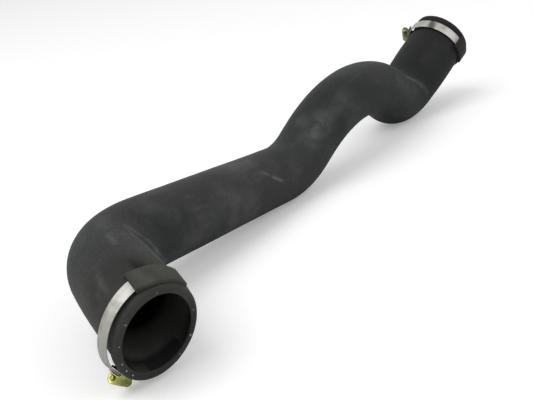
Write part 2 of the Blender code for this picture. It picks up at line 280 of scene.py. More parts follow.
@dataclass(frozen=True)
class RubberFinish:
    """Moulded rubber, matte, with a dry bloom, handling smudges and a fine grain.

    colour and cool are the two tints that it drifts between, bloom the dry film on it,
    olive and rust the tints near the two mouths, and the rest what lies on it, save
    that the smudges' pale colour also serves for painted highlights along the creases
    and shade is the colour of painted shade.
    """

    name: str
    colour: Colour
    cool: Colour
    bloom: Colour
    olive: Colour = (0.038, 0.038, 0.029)
    rust: Colour = (0.034, 0.019, 0.015)
    darkening: Colour = (0.009, 0.010, 0.010)
    # The pale colour of smudges, and of painted highlights along the creases.
    dust_and_sheen: Colour = (0.088, 0.092, 0.087)
    speck: Colour = (0.12, 0.115, 0.10)
    shade: Colour = (0.003, 0.003, 0.003)
    roughness: float = 0.62
    sheen: float = 0.18
    grain: float = 0.00012
    bloom_share: float = 0.75
    seed: float = 0.0

    def build(self) -> Material:
        """Make the material.

        Returns:
            The material.
        """
        s = Sketch(self.name)
        flow = s.attribute("flow", "Vector")
        drift = s.noise(11 + self.seed, 2.0, 0.5)
        cloud = s.noise(26 + self.seed, 4.0, 0.6)
        patch = s.noise(85 + self.seed, 5.0, 0.65)
        smear = s.noise(1.0, 4.0, 0.6, flow, (26, 75, 75))
        fine = s.noise(900, 2.0, 0.5)
        base = s.mix(s.spread(drift, 0.42, 0.58, 0.0, 1.0), self.colour, self.cool)
        base = s.mix(s.times(s.attribute("olive"), 0.7), base, self.olive)
        wide = s.spread(cloud, 0.42, 0.7, 0.0, self.bloom_share)
        mottled = s.times(wide, s.spread(patch, 0.35, 0.7, 0.3, 1.0))
        base = s.mix(mottled, base, self.bloom)
        streaked = s.spread(smear, 0.52, 0.74, 0.0, 0.55)
        base = s.mix(streaked, base, self.bloom)
        sooty = s.spread(s.noise(17 + self.seed, 3.0, 0.55), 0.5, 0.72, 0.0, 0.6)
        base = s.mix(sooty, base, self.darkening)
        # Pale smudges, and painted highlights along the creases.
        dust_and_sheen_mask = s.times(s.attribute("dust_and_sheen"), s.spread(patch, 0.32, 0.62, 0.3, 1.0))
        base = s.mix(dust_and_sheen_mask, base, self.dust_and_sheen)
        specks = s.spread(s.spots(420), 0.02, 0.055, 1.0, 0.0)
        specks = s.times(specks, s.spread(patch, 0.52, 0.66, 0.0, 0.5))
        base = s.mix(specks, base, self.speck)
        base = s.mix(s.times(s.attribute("rust"), 0.8), base, self.rust)
        # Painted shade from the shade attribute: the far leg, the near elbow and hump,
        # hollows, the bore and the far clamp's strap.
        base = s.mix(s.attribute("shade"), base, self.shade)
        grain = s.noise(1700, 3.0, 0.6)
        peel = s.noise(240, 2.0, 0.5)
        normal = s.bump(cloud, 0.0012, 0.3)
        normal = s.bump(peel, 0.0004, 0.4, normal)
        normal = s.bump(grain, self.grain, 0.7, normal)
        rough = s.spread(fine, 0.3, 0.7, self.roughness - 0.06, self.roughness + 0.1)
        s.set(Base_Color=base, Roughness=rough, Normal=normal)
        s.set(Specular_IOR_Level=self.sheen)
        return s.material


@dataclass(frozen=True)
class StripFinish:
    """Satin rolled steel strip, drawn lengthwise, with a dull stain here and there."""

    name: str
    colour: Colour
    stain: Colour
    shade: Colour = (0.08, 0.077, 0.07)
    roughness: float = 0.5

    def build(self) -> Material:
        """Make the material. It reads the strip's own map: u along, v across.

        Returns:
            The material.
        """
        s = Sketch(self.name)
        strip_map = s.attribute("strip", "Vector")
        drawn = s.noise(1.0, 4.0, 0.6, strip_map, (35, 2600, 1))
        broad = s.noise(1.0, 2.0, 0.5, strip_map, (30, 420, 1))
        stains = s.noise(95, 4.0, 0.6)
        colour = s.mix(s.spread(stains, 0.46, 0.7, 0.0, 0.7), self.colour, self.stain)
        colour = s.mix(s.spread(broad, 0.4, 0.7, 0.0, 0.25), colour, self.stain)
        colour = s.mix(s.attribute("shade"), colour, self.shade)
        rough = s.spread(drawn, 0.3, 0.7, self.roughness - 0.07, self.roughness + 0.12)
        s.set(Base_Color=colour, Roughness=rough, Metallic=1.0)
        s.set(Normal=s.bump(drawn, 0.00004, 0.5))
        return s.material


@dataclass(frozen=True)
class PlatedFinish:
    """Passivated yellow-green zinc whose drift of tint is partly painted shade and
    highlight.
    """

    name: str
    yellow: Colour
    green: Colour
    pale: Colour
    shade: Colour = (0.09, 0.092, 0.078)
    roughness: float = 0.2

    def build(self) -> Material:
        """Make the material.

        Returns:
            The material.
        """
        s = Sketch(self.name)
        drift = s.noise(150, 3.0, 0.6)
        cloud = s.noise(620, 3.0, 0.6)
        # The green drift is partly the passivation's tint and partly painted shade for
        # darker crevices.
        colour = s.mix(s.spread(drift, 0.4, 0.66, 0.0, 0.8), self.yellow, self.green)
        # The pale patches are partly the passivation's tint and partly painted
        # highlight.
        colour = s.mix(s.spread(cloud, 0.5, 0.8, 0.0, 0.5), colour, self.pale)
        rough = s.spread(cloud, 0.3, 0.7, self.roughness, self.roughness + 0.15)
        # Painted shade from the shade attribute, on a clamp that lies in shade.
        colour = s.mix(s.attribute("shade"), colour, self.shade)
        s.set(Base_Color=colour, Roughness=rough, Metallic=1.0)
        s.set(Normal=s.bump(cloud, 0.00003, 0.5))
        return s.material


@dataclass(frozen=True)
class YarnFinish:
    """Undyed reinforcement yarn, frayed where the hose is cut."""

    name: str
    colour: Colour
    dirt: float = 0.45

    def build(self) -> Material:
        """Make the material.

        Returns:
            The material.
        """
        s = Sketch(self.name)
        strands = s.noise(5200, 2.0, 0.5)
        dirty = tuple(part * self.dirt for part in self.colour)
        base = s.mix(s.spread(strands, 0.35, 0.65, 0.0, 1.0), self.colour, dirty)
        s.set(Base_Color=base)
        s.set(Roughness=0.9, Normal=s.bump(strands, 0.0001, 0.8))
        return s.material


class Bench:
    """Turns meshes in millimetres into finished pieces at the origin."""

    def __init__(self, materials: dict[Slot, Material]) -> None:
        """Keep the materials by slot.

        Args:
            materials: the finish of each slot.
        """
        self.materials = materials

    def raw(self, name: str, work: BMesh, frame: Matrix) -> Object:
        """Turn a bmesh into an object in the CAD frame.

        Args:
            name: the object's name.
            work: the mesh, in millimetres, in its own frame. It is freed.
            frame: the frame's place, in millimetres.

        Returns:
            The object, at the origin.
        """
        bmesh.ops.recalc_face_normals(work, faces=work.faces)
        work.transform(Matrix.Scale(MM, 4) @ frame)
        mesh = bpy.data.meshes.new(name)
        work.to_mesh(mesh)
        work.free()
        return link(name, mesh)

    def carve(self, made: Object, helper: Object, operation: str) -> None:
        """Join a helper to a piece or cut it away, once the piece is baked.

        Args:
            made: the piece.
            helper: the body to use on it.
            operation: UNION or DIFFERENCE.
        """
        change = made.modifiers.new(helper.name, "BOOLEAN")
        change.operation = operation
        change.object = helper

    def bake(self, made: Object, *helpers: Object) -> Object:
        """Replace an object's mesh by its evaluated one and drop its modifiers.

        Args:
            made: the piece.
            helpers: what the modifiers used, which goes too.

        Returns:
            The piece.
        """
        bpy.context.view_layer.update()
        graph = bpy.context.evaluated_depsgraph_get()
        mesh = bpy.data.meshes.new_from_object(
            made.evaluated_get(graph), preserve_all_data_layers=True, depsgraph=graph
        )
        made.modifiers.clear()
        made.data = mesh
        for helper in helpers:
            bpy.data.objects.remove(helper)
        return made

    def finish(
        self,
        made: Object,
        slot: Slot,
        body: Body,
        node: str | None = None,
        sharp: float = 35.0,
    ) -> None:
        """Shade, dress and mount a piece.

        Args:
            made: the piece.
            slot: the record's slot that it takes its finish from.
            body: what it rides on.
            node: the CAD node that it stands for, if any.
            sharp: edges above this angle stay sharp.
        """
        mesh = made.data
        if not mesh.materials:
            mesh.materials.append(self.materials[slot])
        mesh.shade_smooth()
        mesh.set_sharp_from_angle(angle=math.radians(sharp))
        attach(made, body.value)
        if node:
            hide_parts(node)
        count = sum(len(face.vertices) - 2 for face in mesh.polygons)
        LOG.info("%s: %d triangles, on %s", made.name, count, body.value)


def link(name: str, data: bpy.types.ID) -> Object:
    """Put a new object in the scene.

    Args:
        name: the object's name.
        data: its mesh, camera or lamp.

    Returns:
        The object.
    """
    made = bpy.data.objects.new(name, data)
    bpy.context.scene.collection.objects.link(made)
    return made


def store(made: Object, layer: str, values: np.ndarray | float) -> None:
    """Store a number or a vector on each vertex, or one number on all of them.

    Args:
        made: the piece.
        layer: the attribute's name.
        values: a row or a number for each vertex, or one number.
    """
    mesh = made.data
    if np.ndim(values) > 1:
        kind, key, row = "FLOAT_VECTOR", "vector", values.ravel()
    else:
        kind, key, row = "FLOAT", "value", np.zeros(len(mesh.vertices)) + values
    mesh.attributes.new(layer, kind, "POINT")
    mesh.attributes[layer].data.foreach_set(key, row)


def vertex_rows(made: Object, key: str = "co") -> np.ndarray:
    """Give the places of a piece's vertices in metres, or another vector of theirs.

    Args:
        made: the piece.
        key: the name of the vector to read.

    Returns:
        One row of three numbers for each vertex.
    """
    rows = np.empty(len(made.data.vertices) * 3)
    made.data.vertices.foreach_get(key, rows)
    return rows.reshape(-1, 3)


def skin_rows(
    work: BMesh,
    sections: Sequence[Sequence[Vector]],
    closed: bool = True,
    capped: bool = False,
) -> list[list[BMVert]]:
    """Skin sections of equal length.

    Args:
        work: the mesh to add to.
        sections: rows of points.
        closed: whether each row is a ring.
        capped: whether the first and last rows get a face.

    Returns:
        The rows of vertices.
    """
    rows = [[work.verts.new(point) for point in section] for section in sections]
    for low, high in zip(rows, rows[1:]):
        join_rows(work, low, high, closed)
    if capped:
        work.faces.new(rows[0])
        work.faces.new(rows[-1])
    return rows


def join_rows(
    work: BMesh, low: Sequence[BMVert], high: Sequence[BMVert], closed: bool = True
) -> None:
    """Join two rows of vertices with faces.

    Args:
        work: the mesh.
        low: the first row.
        high: the second row, as long.
        closed: whether the rows run round.
    """
    count = len(low)
    for i in range(count if closed else count - 1):
        j = (i + 1) % count
        work.faces.new((low[i], low[j], high[j], high[i]))


def extrude(
    work: BMesh, outline: Outline, ends: tuple[float, float], solid: bool = True
) -> list[list[BMVert]]:
    """Carry an outline in the YZ plane from one X to another.

    Args:
        work: the mesh to add to.
        outline: Y and Z of its points.
        ends: X of its two places.
        solid: whether it is a ring with a face at both ends, or an open sheet.

    Returns:
        The two rows of vertices.
    """
    sections = [[Vector((x, y, z)) for y, z in outline] for x in ends]
    return skin_rows(work, sections, closed=solid, capped=solid)


def rounded(
    points: Sequence[tuple[float, float]], radii: Sequence[float], steps: int = 4
) -> Outline:
    """Round the corners of a closed outline.

    Args:
        points: the corners, in order.
        radii: how far each corner's rounding reaches along its sides, 0 for none.
        steps: points on each rounding, less one.

    Returns:
        The outline's points.
    """
    outline: Outline = []
    count = len(points)
    for i, radius in enumerate(radii):
        here = Vector(points[i])
        if radius <= 0:
            outline.append(points[i])
            continue
        before = (Vector(points[i - 1]) - here).normalized() * radius
        after = (Vector(points[(i + 1) % count]) - here).normalized() * radius
        for k in range(steps + 1):
            t = k / steps
            point = here + before * (1 - t) ** 2 + after * t * t
            outline.append((point.x, point.y))
    return outline


@dataclass(frozen=True)
class BendRow:
    """One row of the bending table, as the moulding drawing gives it."""

    straight: float
    towards: float
    angle: float
    radius: float
    outer: float


@dataclass(frozen=True)
class HoseSizes:
    """Sizes of the moulded hose. The near mouth's centre is where the CAD has it."""

    mouth: Place = (-270.87, -42.42, 34.54)
    heading: float = 61.04
    climb: float = 23.64
    roll: float = 0.41
    near_outer: float = 60.0
    far_outer: float = 57.6
    wall: float = 5.0
    bends: tuple[BendRow, ...] = (
        BendRow(24.0, -109.8, 23.2, 37.5, 60.0),
        BendRow(33.2, -173.7, 63.3, 66.8, 57.0),
        BendRow(163.3, 102.1, 40.6, 59.9, 50.2),
        BendRow(11.3, -73.9, 72.3, 118.0, 51.4),
        BendRow(2.6, 108.3, 68.3, 38.8, 53.6),
    )
    last_straight: float = 73.7
    far_cuff: float = 34.0
    trim: float = 16.0
    trim_short: float = 125.1
    bead: float = 0.7
    bead_length: float = 5.0
    bead_fade: float = 1.6
    outer_edge: float = 1.9
    inner_edge: float = 0.8


class Centreline:
    """The hose's centreline, with X along it and Y and Z across."""

    def __init__(self, sizes: HoseSizes) -> None:
        """Walk the bending table.

        Args:
            sizes: the hose's sizes.
        """
        self.sizes = sizes
        turn = Matrix.Rotation(math.radians(sizes.heading), 4, "Z")
        rise = Matrix.Rotation(math.radians(-sizes.climb), 4, "Y")
        turn = turn @ rise @ Matrix.Rotation(math.radians(sizes.roll), 4, "X")
        frame = Matrix.Translation(sizes.mouth) @ turn
        self.pieces: list[tuple[float, float, Matrix, BendRow | None]] = []
        self.widths: list[tuple[float, float]] = [(0.0, sizes.near_outer)]
        along = 0.0
        for bend in sizes.bends:
            self.pieces.append((along, bend.straight, frame, None))
            frame = frame @ Matrix.Translation((bend.straight, 0, 0))
            along += bend.straight
            arc = math.radians(bend.angle) * bend.radius
            self.widths.append((along + arc / 2, bend.outer))
            self.pieces.append((along, arc, frame, bend))
            frame = frame @ self.turned(bend, bend.angle)
            along += arc
        self.pieces.append((along, sizes.last_straight, frame, None))
        self.end = frame @ Matrix.Translation((sizes.last_straight, 0, 0))
        self.length = along + sizes.last_straight
        self.widths.append((self.length - sizes.far_cuff, sizes.far_outer))
        self.widths.append((self.length, sizes.far_outer))

    @staticmethod
    def turned(bend: BendRow, angle: float) -> Matrix:
        """Give the step of a frame round part of a bend.

        Args:
            bend: the bend.
            angle: how far round it, in degrees.

        Returns:
            The step.
        """
        inwards = around(bend.towards)
        turn = Matrix.Rotation(math.radians(angle), 4, Vector((1, 0, 0)).cross(inwards))
        centre = inwards * bend.radius
        return Matrix.Translation(centre) @ turn @ Matrix.Translation(-centre)

    def frame_at(self, along: float) -> Matrix:
        """Give the frame at a distance from the near mouth.

        Args:
            along: the distance, in millimetres.

        Returns:
            The frame, in millimetres in the CAD frame.
        """
        start, length, frame, bend = self.pieces[0]
        for piece in self.pieces:
            if piece[0] <= along + 1e-9:
                start, length, frame, bend = piece
        past = along - start
        if bend is None:
            return frame @ Matrix.Translation((past, 0, 0))
        return frame @ self.turned(bend, bend.angle * past / length)

    def radius_at(self, along: float) -> float:
        """Give the plain outside radius at a distance from the near mouth.

        Args:
            along: distance from the near mouth.

        Returns:
            The radius in millimetres.
        """
        for (start, low), (end, high) in zip(self.widths, self.widths[1:]):
            if along <= end:
                share = ease((along - start) / (end - start))
                return (low + (high - low) * share) / 2
        return self.widths[-1][1] / 2


@dataclass(frozen=True)
class Mark:
    """A mark on the skin: the line it follows, how far it reaches and its strength."""

    line: tuple[Place, ...]
    reach: float
    strength: float

    def weigh(self, places: np.ndarray) -> np.ndarray:
        """Give the mark's strength at each of many places.

        Args:
            places: one row of three numbers in millimetres for each place.

        Returns:
            The weight of each place.
        """
        points = np.array(self.line)
        ends = points[1:] if len(points) > 1 else points
        gaps = np.full(len(places), np.inf)
        for start, end in zip(points, ends):
            run = end - start
            share = (places - start) @ run / max(run @ run, 1e-9)
            near = start + np.clip(share, 0, 1)[:, None] * run
            gaps = np.minimum(gaps, np.linalg.norm(places - near, axis=1))
        close = np.clip(1 - gaps / self.reach, 0, 1)
        return self.strength * close * close * (3 - 2 * close)


# Pale marks: smudges, a scratch and scuffs, and painted highlights along the creases.
PALE_MARKS = (
    Mark(((20.8, -9.7, 51.3), (28.3, -12.7, 55.9), (37.5, -15.2, 61.8)), 17, 0.75),
    Mark(((53.0, -21.6, 66.4), (66.0, -24.0, 68.0)), 13, 0.5),
    Mark(((28.4, 1.6, 63.3),), 12, 0.4),
    Mark(((-51.3, 16.3, 55.7), (-69.5, 17.6, 57.9)), 20, 0.5),
    Mark(((-49.6, 2.3, 46.1), (-45.9, -0.2, 42.6)), 1.7, 1.8),
    Mark(((-42.6, -2.2, 39.2), (-38.4, -3.9, 35.8), (-34.7, -5.1, 32.5)), 1.8, 2.2),
    # Painted highlights along the near elbow's creases.
    Mark(((-205.6, 19.3, 71.4), (-203.5, 13.3, 65.5), (-195.5, 12.4, 55.6)), 2.8, 2.4),
    Mark(((-195.5, 12.4, 55.6), (-182.3, 16.4, 36.9), (-171.9, 22.1, 25.5)), 2.6, 2.6),
    Mark(((-207.2, 18.1, 71.5), (-216.6, 0.7, 67.5), (-236.9, -29.0, 65.5)), 3.0, 1.6),
    Mark(((-207.7, 37.7, 76.6), (-218.7, 26.3, 77.2)), 9, 0.7),
    Mark(((-228.4, 15.4, 77.4), (-241.0, 0.0, 77.5)), 3.4, 1.1),
    Mark(((-233.0, 14.0, 77.0), (-222.0, 8.0, 74.5)), 2.8, 1.0),
    Mark(((-279.6, -18.7, 66.9), (-271.4, -6.7, 70.8)), 4, 0.6),
    Mark(((-275.3, -11.6, 69.3), (-281.5, -12.0, 64.5)), 3, 0.9),
    Mark(((-149.8, 12.4, 33.7), (-127.5, 8.2, 35.6)), 17, 0.3),
    Mark(((-166.5, 27.5, 68.9), (-160.1, 17.0, 58.6)), 16, 0.4),
    Mark(((-101.5, 7.3, 48.8), (-78.3, 0.9, 34.5)), 18, 0.35),
    Mark(((241.6, -50.3, 68.4),), 9, 0.45),
    Mark(((223.0, -43.5, 57.2), (232.6, -46.3, 63.8)), 9, 0.4),
    Mark(((94.8, -14.1, 85.8), (115.5, -20.3, 85.0)), 16, 0.35),
    Mark(((158.2, -40.4, 57.5),), 12, 0.5),
    # Painted highlight along the elbow's edge in front of the far leg.
    Mark(((186.0, -34.6, 54.0), (198.2, -33.0, 48.3), (206.9, -43.5, 36.8)), 4.5, 0.9),
    Mark(((206.9, -43.5, 36.8), (213.0, -46.2, 25.0)), 4.5, 0.7),
)
# Painted shade on the hollow behind the near strap's corner, the near elbow and the
# hump.
PAINTED_SHADE_MARKS = (
    Mark(((-258.6, -27.0, 73.2), (-257.8, -31.5, 72.0)), 4.5, 0.9),
    Mark(((-255.0, -10.0, 77.0), (-220.0, 8.0, 74.5), (-196.0, 26.0, 71.0)), 60, 0.5),
    Mark(((60.0, -12.0, 76.0), (98.0, -26.0, 74.0), (150.0, -38.0, 58.0)), 55, 0.34),
)
HOLLOWS = (
    Mark(((-262.0, -26.5, 74.6), (-260.3, -31.0, 73.4)), 6.5, 1.3),
    Mark(((-196.0, 14.0, 70.0),), 40, 0.7),
)


@dataclass(frozen=True)
class HoseSkinSizes:
    """How finely the skin is built, how uneven the moulding is, and its marks.

    The neck is a slight waist past each cuff, ragged the cut's effect on the far lip,
    and the far leg's painted shade, olive and rust say where the painted shade and the
    tints begin and over what length they come in.
    """

    sides: int = 144
    step: float = 2.6
    bore_step: float = 4.0
    edge_steps: int = 6
    bead_steps: int = 4
    first_step: float = 1.7
    face_rings: int = 5
    swell: float = 0.16
    swell_scale: float = 0.028
    ripple: float = 0.05
    ripple_scale: float = 0.16
    ragged: float = 0.22
    ragged_scale: float = 0.55
    ragged_from: float = 9.0
    ragged_over: float = 4.0
    near_knife: float = 0.12
    far_knife: float = 0.3
    neck: float = 0.45
    neck_from: float = 24.0
    neck_length: float = 40.0
    # Painted shade on the far leg, where the light falls off.
    far_leg_shade: float = 0.76
    far_leg_shade_from: float = 103.0
    far_leg_shade_over: float = 36.0
    olive: float = 1.15
    olive_over: float = 95.0
    rust_from: float = 8.0
    rust_over: float = 4.0
    bore_shade: float = 0.97
    lip_shade: float = 0.15
    lip_from: float = 0.7
    lip_reach: float = 42.0
    flow_radius: float = 28.0
    pale: tuple[Mark, ...] = PALE_MARKS
    # Marks of painted shade.
    painted_shade: tuple[Mark, ...] = PAINTED_SHADE_MARKS
    hollows: tuple[Mark, ...] = HOLLOWS


@dataclass(frozen=True)
class HoseSkin:
    """The moulded hose's fine skin, with its lips, cut faces and bore."""

    route: Centreline
    fine: HoseSkinSizes = HoseSkinSizes()

    def bead_at(self, along: float) -> float:
        """Give how far a lip stands proud at a distance from its mouth."""
        sizes = self.route.sizes
        return sizes.bead * (1 - ease((along - sizes.bead_length) / sizes.bead_fade))

    def lean_at(self, along: float) -> float:
        """Give the slant of a section, which is that of the trim at the near mouth.

        Args:
            along: distance from the near mouth.

        Returns:
            The slant's tangent.
        """
        sizes = self.route.sizes
        share = max(0.0, 1 - along / sizes.bends[0].straight)
        return math.tan(math.radians(sizes.trim)) * share

    def point(self, along: float, angle: float, radius: float) -> Vector:
        """Give a point of the skin in millimetres in the CAD frame.

        Args:
            along: distance from the near mouth.
            angle: the angle round the section, in degrees.
            radius: distance from the centreline.

        Returns:
            The point.
        """
        place = around(angle, radius)
        turn = math.radians(angle - self.route.sizes.trim_short)
        place.x = self.lean_at(along) * radius * math.cos(turn)
        return self.route.frame_at(along) @ place

    def edge(self, size: float) -> Outline:
        """Give the setback and drop of the points of a rounded edge.

        Args:
            size: the edge's radius.

        Returns:
            The points, from the cut face to the surface.
        """
        count = self.fine.edge_steps
        turns = [math.pi / 2 * i / count for i in range(count + 1)]
        return [(size * (1 - math.cos(t)), size * (1 - math.sin(t))) for t in turns]

    def profile(self, inside: bool) -> Outline:
        """Give the distance and radius of each ring of one surface.

        Args:
            inside: whether it is the bore.

        Returns:
            The rings from the near mouth to the far one.
        """
        route, sizes = self.route, self.route.sizes
        size = sizes.inner_edge if inside else sizes.outer_edge
        sign = 1 if inside else -1

        def radius(along: float) -> float:
            """Give the surface's radius at a distance from the near mouth.

            Args:
                along: distance from the near mouth.

            Returns:
                The radius in millimetres.
            """
            if inside:
                return route.radius_at(along) - sizes.wall
            nearer = min(along, route.length - along)
            lip = self.bead_at(nearer) / sizes.bead
            past = (nearer - self.fine.neck_from) / self.fine.neck_length
            neck = self.fine.neck * (1 - ease(past))
            return route.radius_at(along) + lip * sizes.bead - (1 - lip) * neck

        edge = self.edge(size)
        near = [(s, radius(0) + sign * drop) for s, drop in edge]
        last = [(route.length - s, radius(route.length) + sign * d) for s, d in edge]
        places: list[float] = []
        if not inside:
            count = self.fine.bead_steps
            ends = [self.fine.first_step]
            for k in range(count + 1):
                ends.append(sizes.bead_length + sizes.bead_fade * k / count)
            places += ends + [route.length - s for s in ends]
        start = sizes.bead_length + sizes.bead_fade + 0.8
        step = self.fine.bore_step if inside else self.fine.step
        count = round((route.length - 2 * start) / step)
        gap = (route.length - 2 * start) / count
        places += [start + gap * i for i in range(count + 1)]
        return near + [(s, radius(s)) for s in sorted(places)] + last[::-1]

    def unevenness(self, point: Vector, along: float) -> float:
        """Give how far the moulding stands off its drawn shape at a point.

        Args:
            point: the point in millimetres.
            along: its distance from the near mouth.

        Returns:
            The distance in millimetres, outwards.
        """
        fine, route = self.fine, self.route
        swell = noise.noise(point * fine.swell_scale) * fine.swell
        moved = point * fine.ripple_scale + Vector((7, 3, 1))
        ripple = noise.noise(moved) * fine.ripple
        past = along - (route.length - fine.ragged_from)
        rough = ease(past / fine.ragged_over) * fine.ragged
        coarse = noise.fractal(point * fine.ragged_scale, 0.8, 2.1, 3) * rough
        return swell + ripple + coarse

    def surface(self, inside: bool) -> list[list[Vector]]:
        """Give the rings of points of the outside or of the bore.

        Args:
            inside: whether it is the bore.

        Returns:
            One ring of points for each section.
        """
        step = 360 / self.fine.sides
        sections = []
        for along, radius in self.profile(inside):
            ring = []
            for i in range(self.fine.sides):
                angle = self.route.sizes.trim_short + step * i
                point = self.point(along, angle, radius)
                off = 0.0 if inside else self.unevenness(point, along)
                ring.append(self.point(along, angle, radius + off) if off else point)
            sections.append(ring)
        return sections

    def cut_face(
        self,
        work: BMesh,
        outer: Sequence[BMVert],
        inner: Sequence[BMVert],
        rough: float,
    ) -> None:
        """Close one end between the two surfaces, a little uneven from the knife.

        Args:
            work: the mesh.
            outer: the outside's last ring.
            inner: the bore's last ring.
            rough: depth of the knife's marks.
        """
        count = self.fine.face_rings
        other = len(outer) // 16
        normal = (outer[0].co - inner[0].co).cross(outer[other].co - inner[other].co)
        normal.normalize()
        rows = [list(outer)]
        for k in range(1, count):
            row = []
            for a, b in zip(outer, inner):
                place = a.co.lerp(b.co, k / count)
                off = noise.fractal(place * 0.5, 0.8, 2.0, 3) * rough
                row.append(work.verts.new(place + normal * off))
            rows.append(row)
        rows.append(list(inner))
        for low, high in zip(rows, rows[1:]):
            join_rows(work, low, high)

    def sink(self, made: Object) -> None:
        """Press the hollows into the skin, straight in along its normals.

        Args:
            made: the skin.
        """
        places, normals = vertex_rows(made), vertex_rows(made, "normal")
        depth = sum(mark.weigh(places / MM) for mark in self.fine.hollows) * MM
        places -= normals * depth[:, None]
        made.data.vertices.foreach_set("co", places.ravel())

    def paint(self, made: Object, spots: dict[int, tuple[float, float]]) -> None:
        """Store what the rubber's finish reads.

        The pale layer holds smudges, scuffs and painted highlights along the creases;
        shade holds painted shade on the far leg, the near elbow, the hump, hollows and
        the bore; olive says how warm the tint is, and flow the place on the hose as if
        it were straight, in metres.

        Args:
            made: the skin.
            spots: distance and angle of the vertices of the outside, by index.
        """
        fine, route, length = self.fine, self.route, self.route.length
        places = vertex_rows(made) / MM
        outside = np.zeros(len(places), bool)
        along, turn = np.zeros(len(places)), np.zeros(len(places))
        for index, (distance, angle) in spots.items():
            outside[index] = True
            along[index] = distance
            turn[index] = math.radians(angle)
        # Pale marks: smudges and scuffs, and painted highlights along the creases.
        dust_and_sheen = np.clip(sum(mark.weigh(places) for mark in fine.pale), 0, 1)
        # Painted shade: the far leg darkens towards its mouth, where the light falls
        # off.
        into_far_leg_shade = (along - (length - fine.far_leg_shade_from)) / fine.far_leg_shade_over
        painted_shade = np.clip(into_far_leg_shade, 0, 1) * fine.far_leg_shade
        # Painted shade from the shade marks.
        painted_shade += sum(mark.weigh(places) for mark in fine.painted_shade)
        shade = np.where(outside, np.clip(painted_shade, 0, 1), fine.bore_shade)
        # Painted shade is lighter on the cut face and the bore near each mouth than
        # deep in the bore.
        for face in (0.0, length):
            front = np.array(route.frame_at(face).translation)
            rim = np.linalg.norm(places - front, axis=1)
            wide = route.radius_at(face) - route.sizes.wall + fine.lip_from
            lip = (~outside) & (rim > wide) & (rim < fine.lip_reach)
            shade = np.where(lip, fine.lip_shade, shade)
        nearby = np.linalg.norm(places - np.array(route.sizes.mouth), axis=1)
        past_rust = (along - (length - fine.rust_from)) / fine.rust_over
        store(made, "dust_and_sheen", np.where(outside, dust_and_sheen, 0))
        store(made, "shade", shade)
        store(made, "olive", np.clip(fine.olive - nearby / fine.olive_over, 0, 1))
        store(made, "rust", np.clip(past_rust, 0, 1) * outside)
        across = (fine.flow_radius * np.cos(turn), fine.flow_radius * np.sin(turn))
        store(made, "flow", np.stack((along, *across), 1) * MM)

    def build(self, bench: Bench) -> None:
        """Build the skin.

        Args:
            bench: the bench to finish it on.
        """
        work = bmesh.new()
        outside = skin_rows(work, self.surface(inside=False))
        inside = skin_rows(work, self.surface(inside=True))
        self.cut_face(work, outside[0], inside[0], self.fine.near_knife)
        self.cut_face(work, outside[-1], inside[-1], self.fine.far_knife)
        work.verts.index_update()
        step = 360 / self.fine.sides
        spots = {
            vertex.index: (along, self.route.sizes.trim_short + step * i)
            for (along, _), ring in zip(self.profile(inside=False), outside)
            for i, vertex in enumerate(ring)
        }
        made = bench.raw("hose_skin", work, Matrix.Identity(4))
        self.sink(made)
        self.paint(made, spots)
        bench.finish(made, Slot.HOSE, Body.HOSE, "hose_body", 50)


class NodeRecipe(Tree):
    """A Geometry Nodes tree with named inputs."""

    def __init__(self, name: str) -> None:
        """Start a tree with a geometry input and output.

        Args:
            name: the tree's name.
        """
        super().__init__(bpy.data.node_groups.new(name, "GeometryNodeTree"))
        self.face = self.tree.interface
        kind = "NodeSocketGeometry"
        for side in ("INPUT", "OUTPUT"):
            self.face.new_socket("Geometry", in_out=side, socket_type=kind)
        self.keys: dict[str, str] = {}
        self.into = self.tree.nodes.new("NodeGroupInput")
        self.out = self.tree.nodes.new("NodeGroupOutput")

    def input(self, name: str, kind: str) -> NodeSocket:
        """Add a named input.

        Args:
            name: the input's name.
            kind: the last part of its socket type, such as Float.

        Returns:
            The socket that gives its value in the tree.
        """
        full = f"NodeSocket{kind}"
        item = self.face.new_socket(name, in_out="INPUT", socket_type=full)
        self.keys[name] = item.identifier
        return self.into.outputs[name]

    def vector(self, name: str) -> NodeSocket:
        """Read a named vector attribute.

        Args:
            name: the attribute's name.

        Returns:
            Its value.
        """
        settings = {"data_type": "FLOAT_VECTOR"}
        node = self.add("GeometryNodeInputNamedAttribute", {"Name": name}, **settings)
        return node.outputs["Attribute"]

    def scatter(
        self, points: NodeSocket, piece: NodeSocket, scale: object = (1.0, 1.0, 1.0)
    ) -> NodeSocket:
        """Put a piece on each point, with X along "along" and Z along "out".

        Args:
            points: the points, which carry the two vectors.
            piece: the piece.
            scale: the piece's scale.

        Returns:
            The instances.
        """
        kind = "FunctionNodeAlignRotationToVector"
        first = self.add(kind, {"Vector": self.vector("along")}, axis="X")
        inputs = {"Rotation": first.outputs[0], "Vector": self.vector("out")}
        second = self.add(kind, inputs, axis="Z", pivot_axis="X")
        inputs = {
            "Points": points,
            "Instance": piece,
            "Rotation": second.outputs[0],
            "Scale": scale,
        }
        return self.add("GeometryNodeInstanceOnPoints", inputs).outputs[0]

    def close(self, geometry: NodeSocket, material: NodeSocket) -> None:
        """End the tree in Realize Instances and Set Material.

        Args:
            geometry: what the tree made.
            material: the finish that it gets.
        """
        real = self.add("GeometryNodeRealizeInstances", {0: geometry}).outputs[0]
        inputs = {"Geometry": real, "Material": material}
        painted = self.add("GeometryNodeSetMaterial", inputs)
        self.feed(self.out.inputs[0], painted.outputs[0])

    def run(self, made: Object, values: dict[str, object]) -> None:
        """Put the tree on an object with its inputs set by identifier.

        Args:
            made: the object.
            values: the inputs' values by name.
        """
        change = made.modifiers.new(self.tree.name, "NODES")
        change.node_group = self.tree
        for name, value in values.items():
            change[self.keys[name]] = value


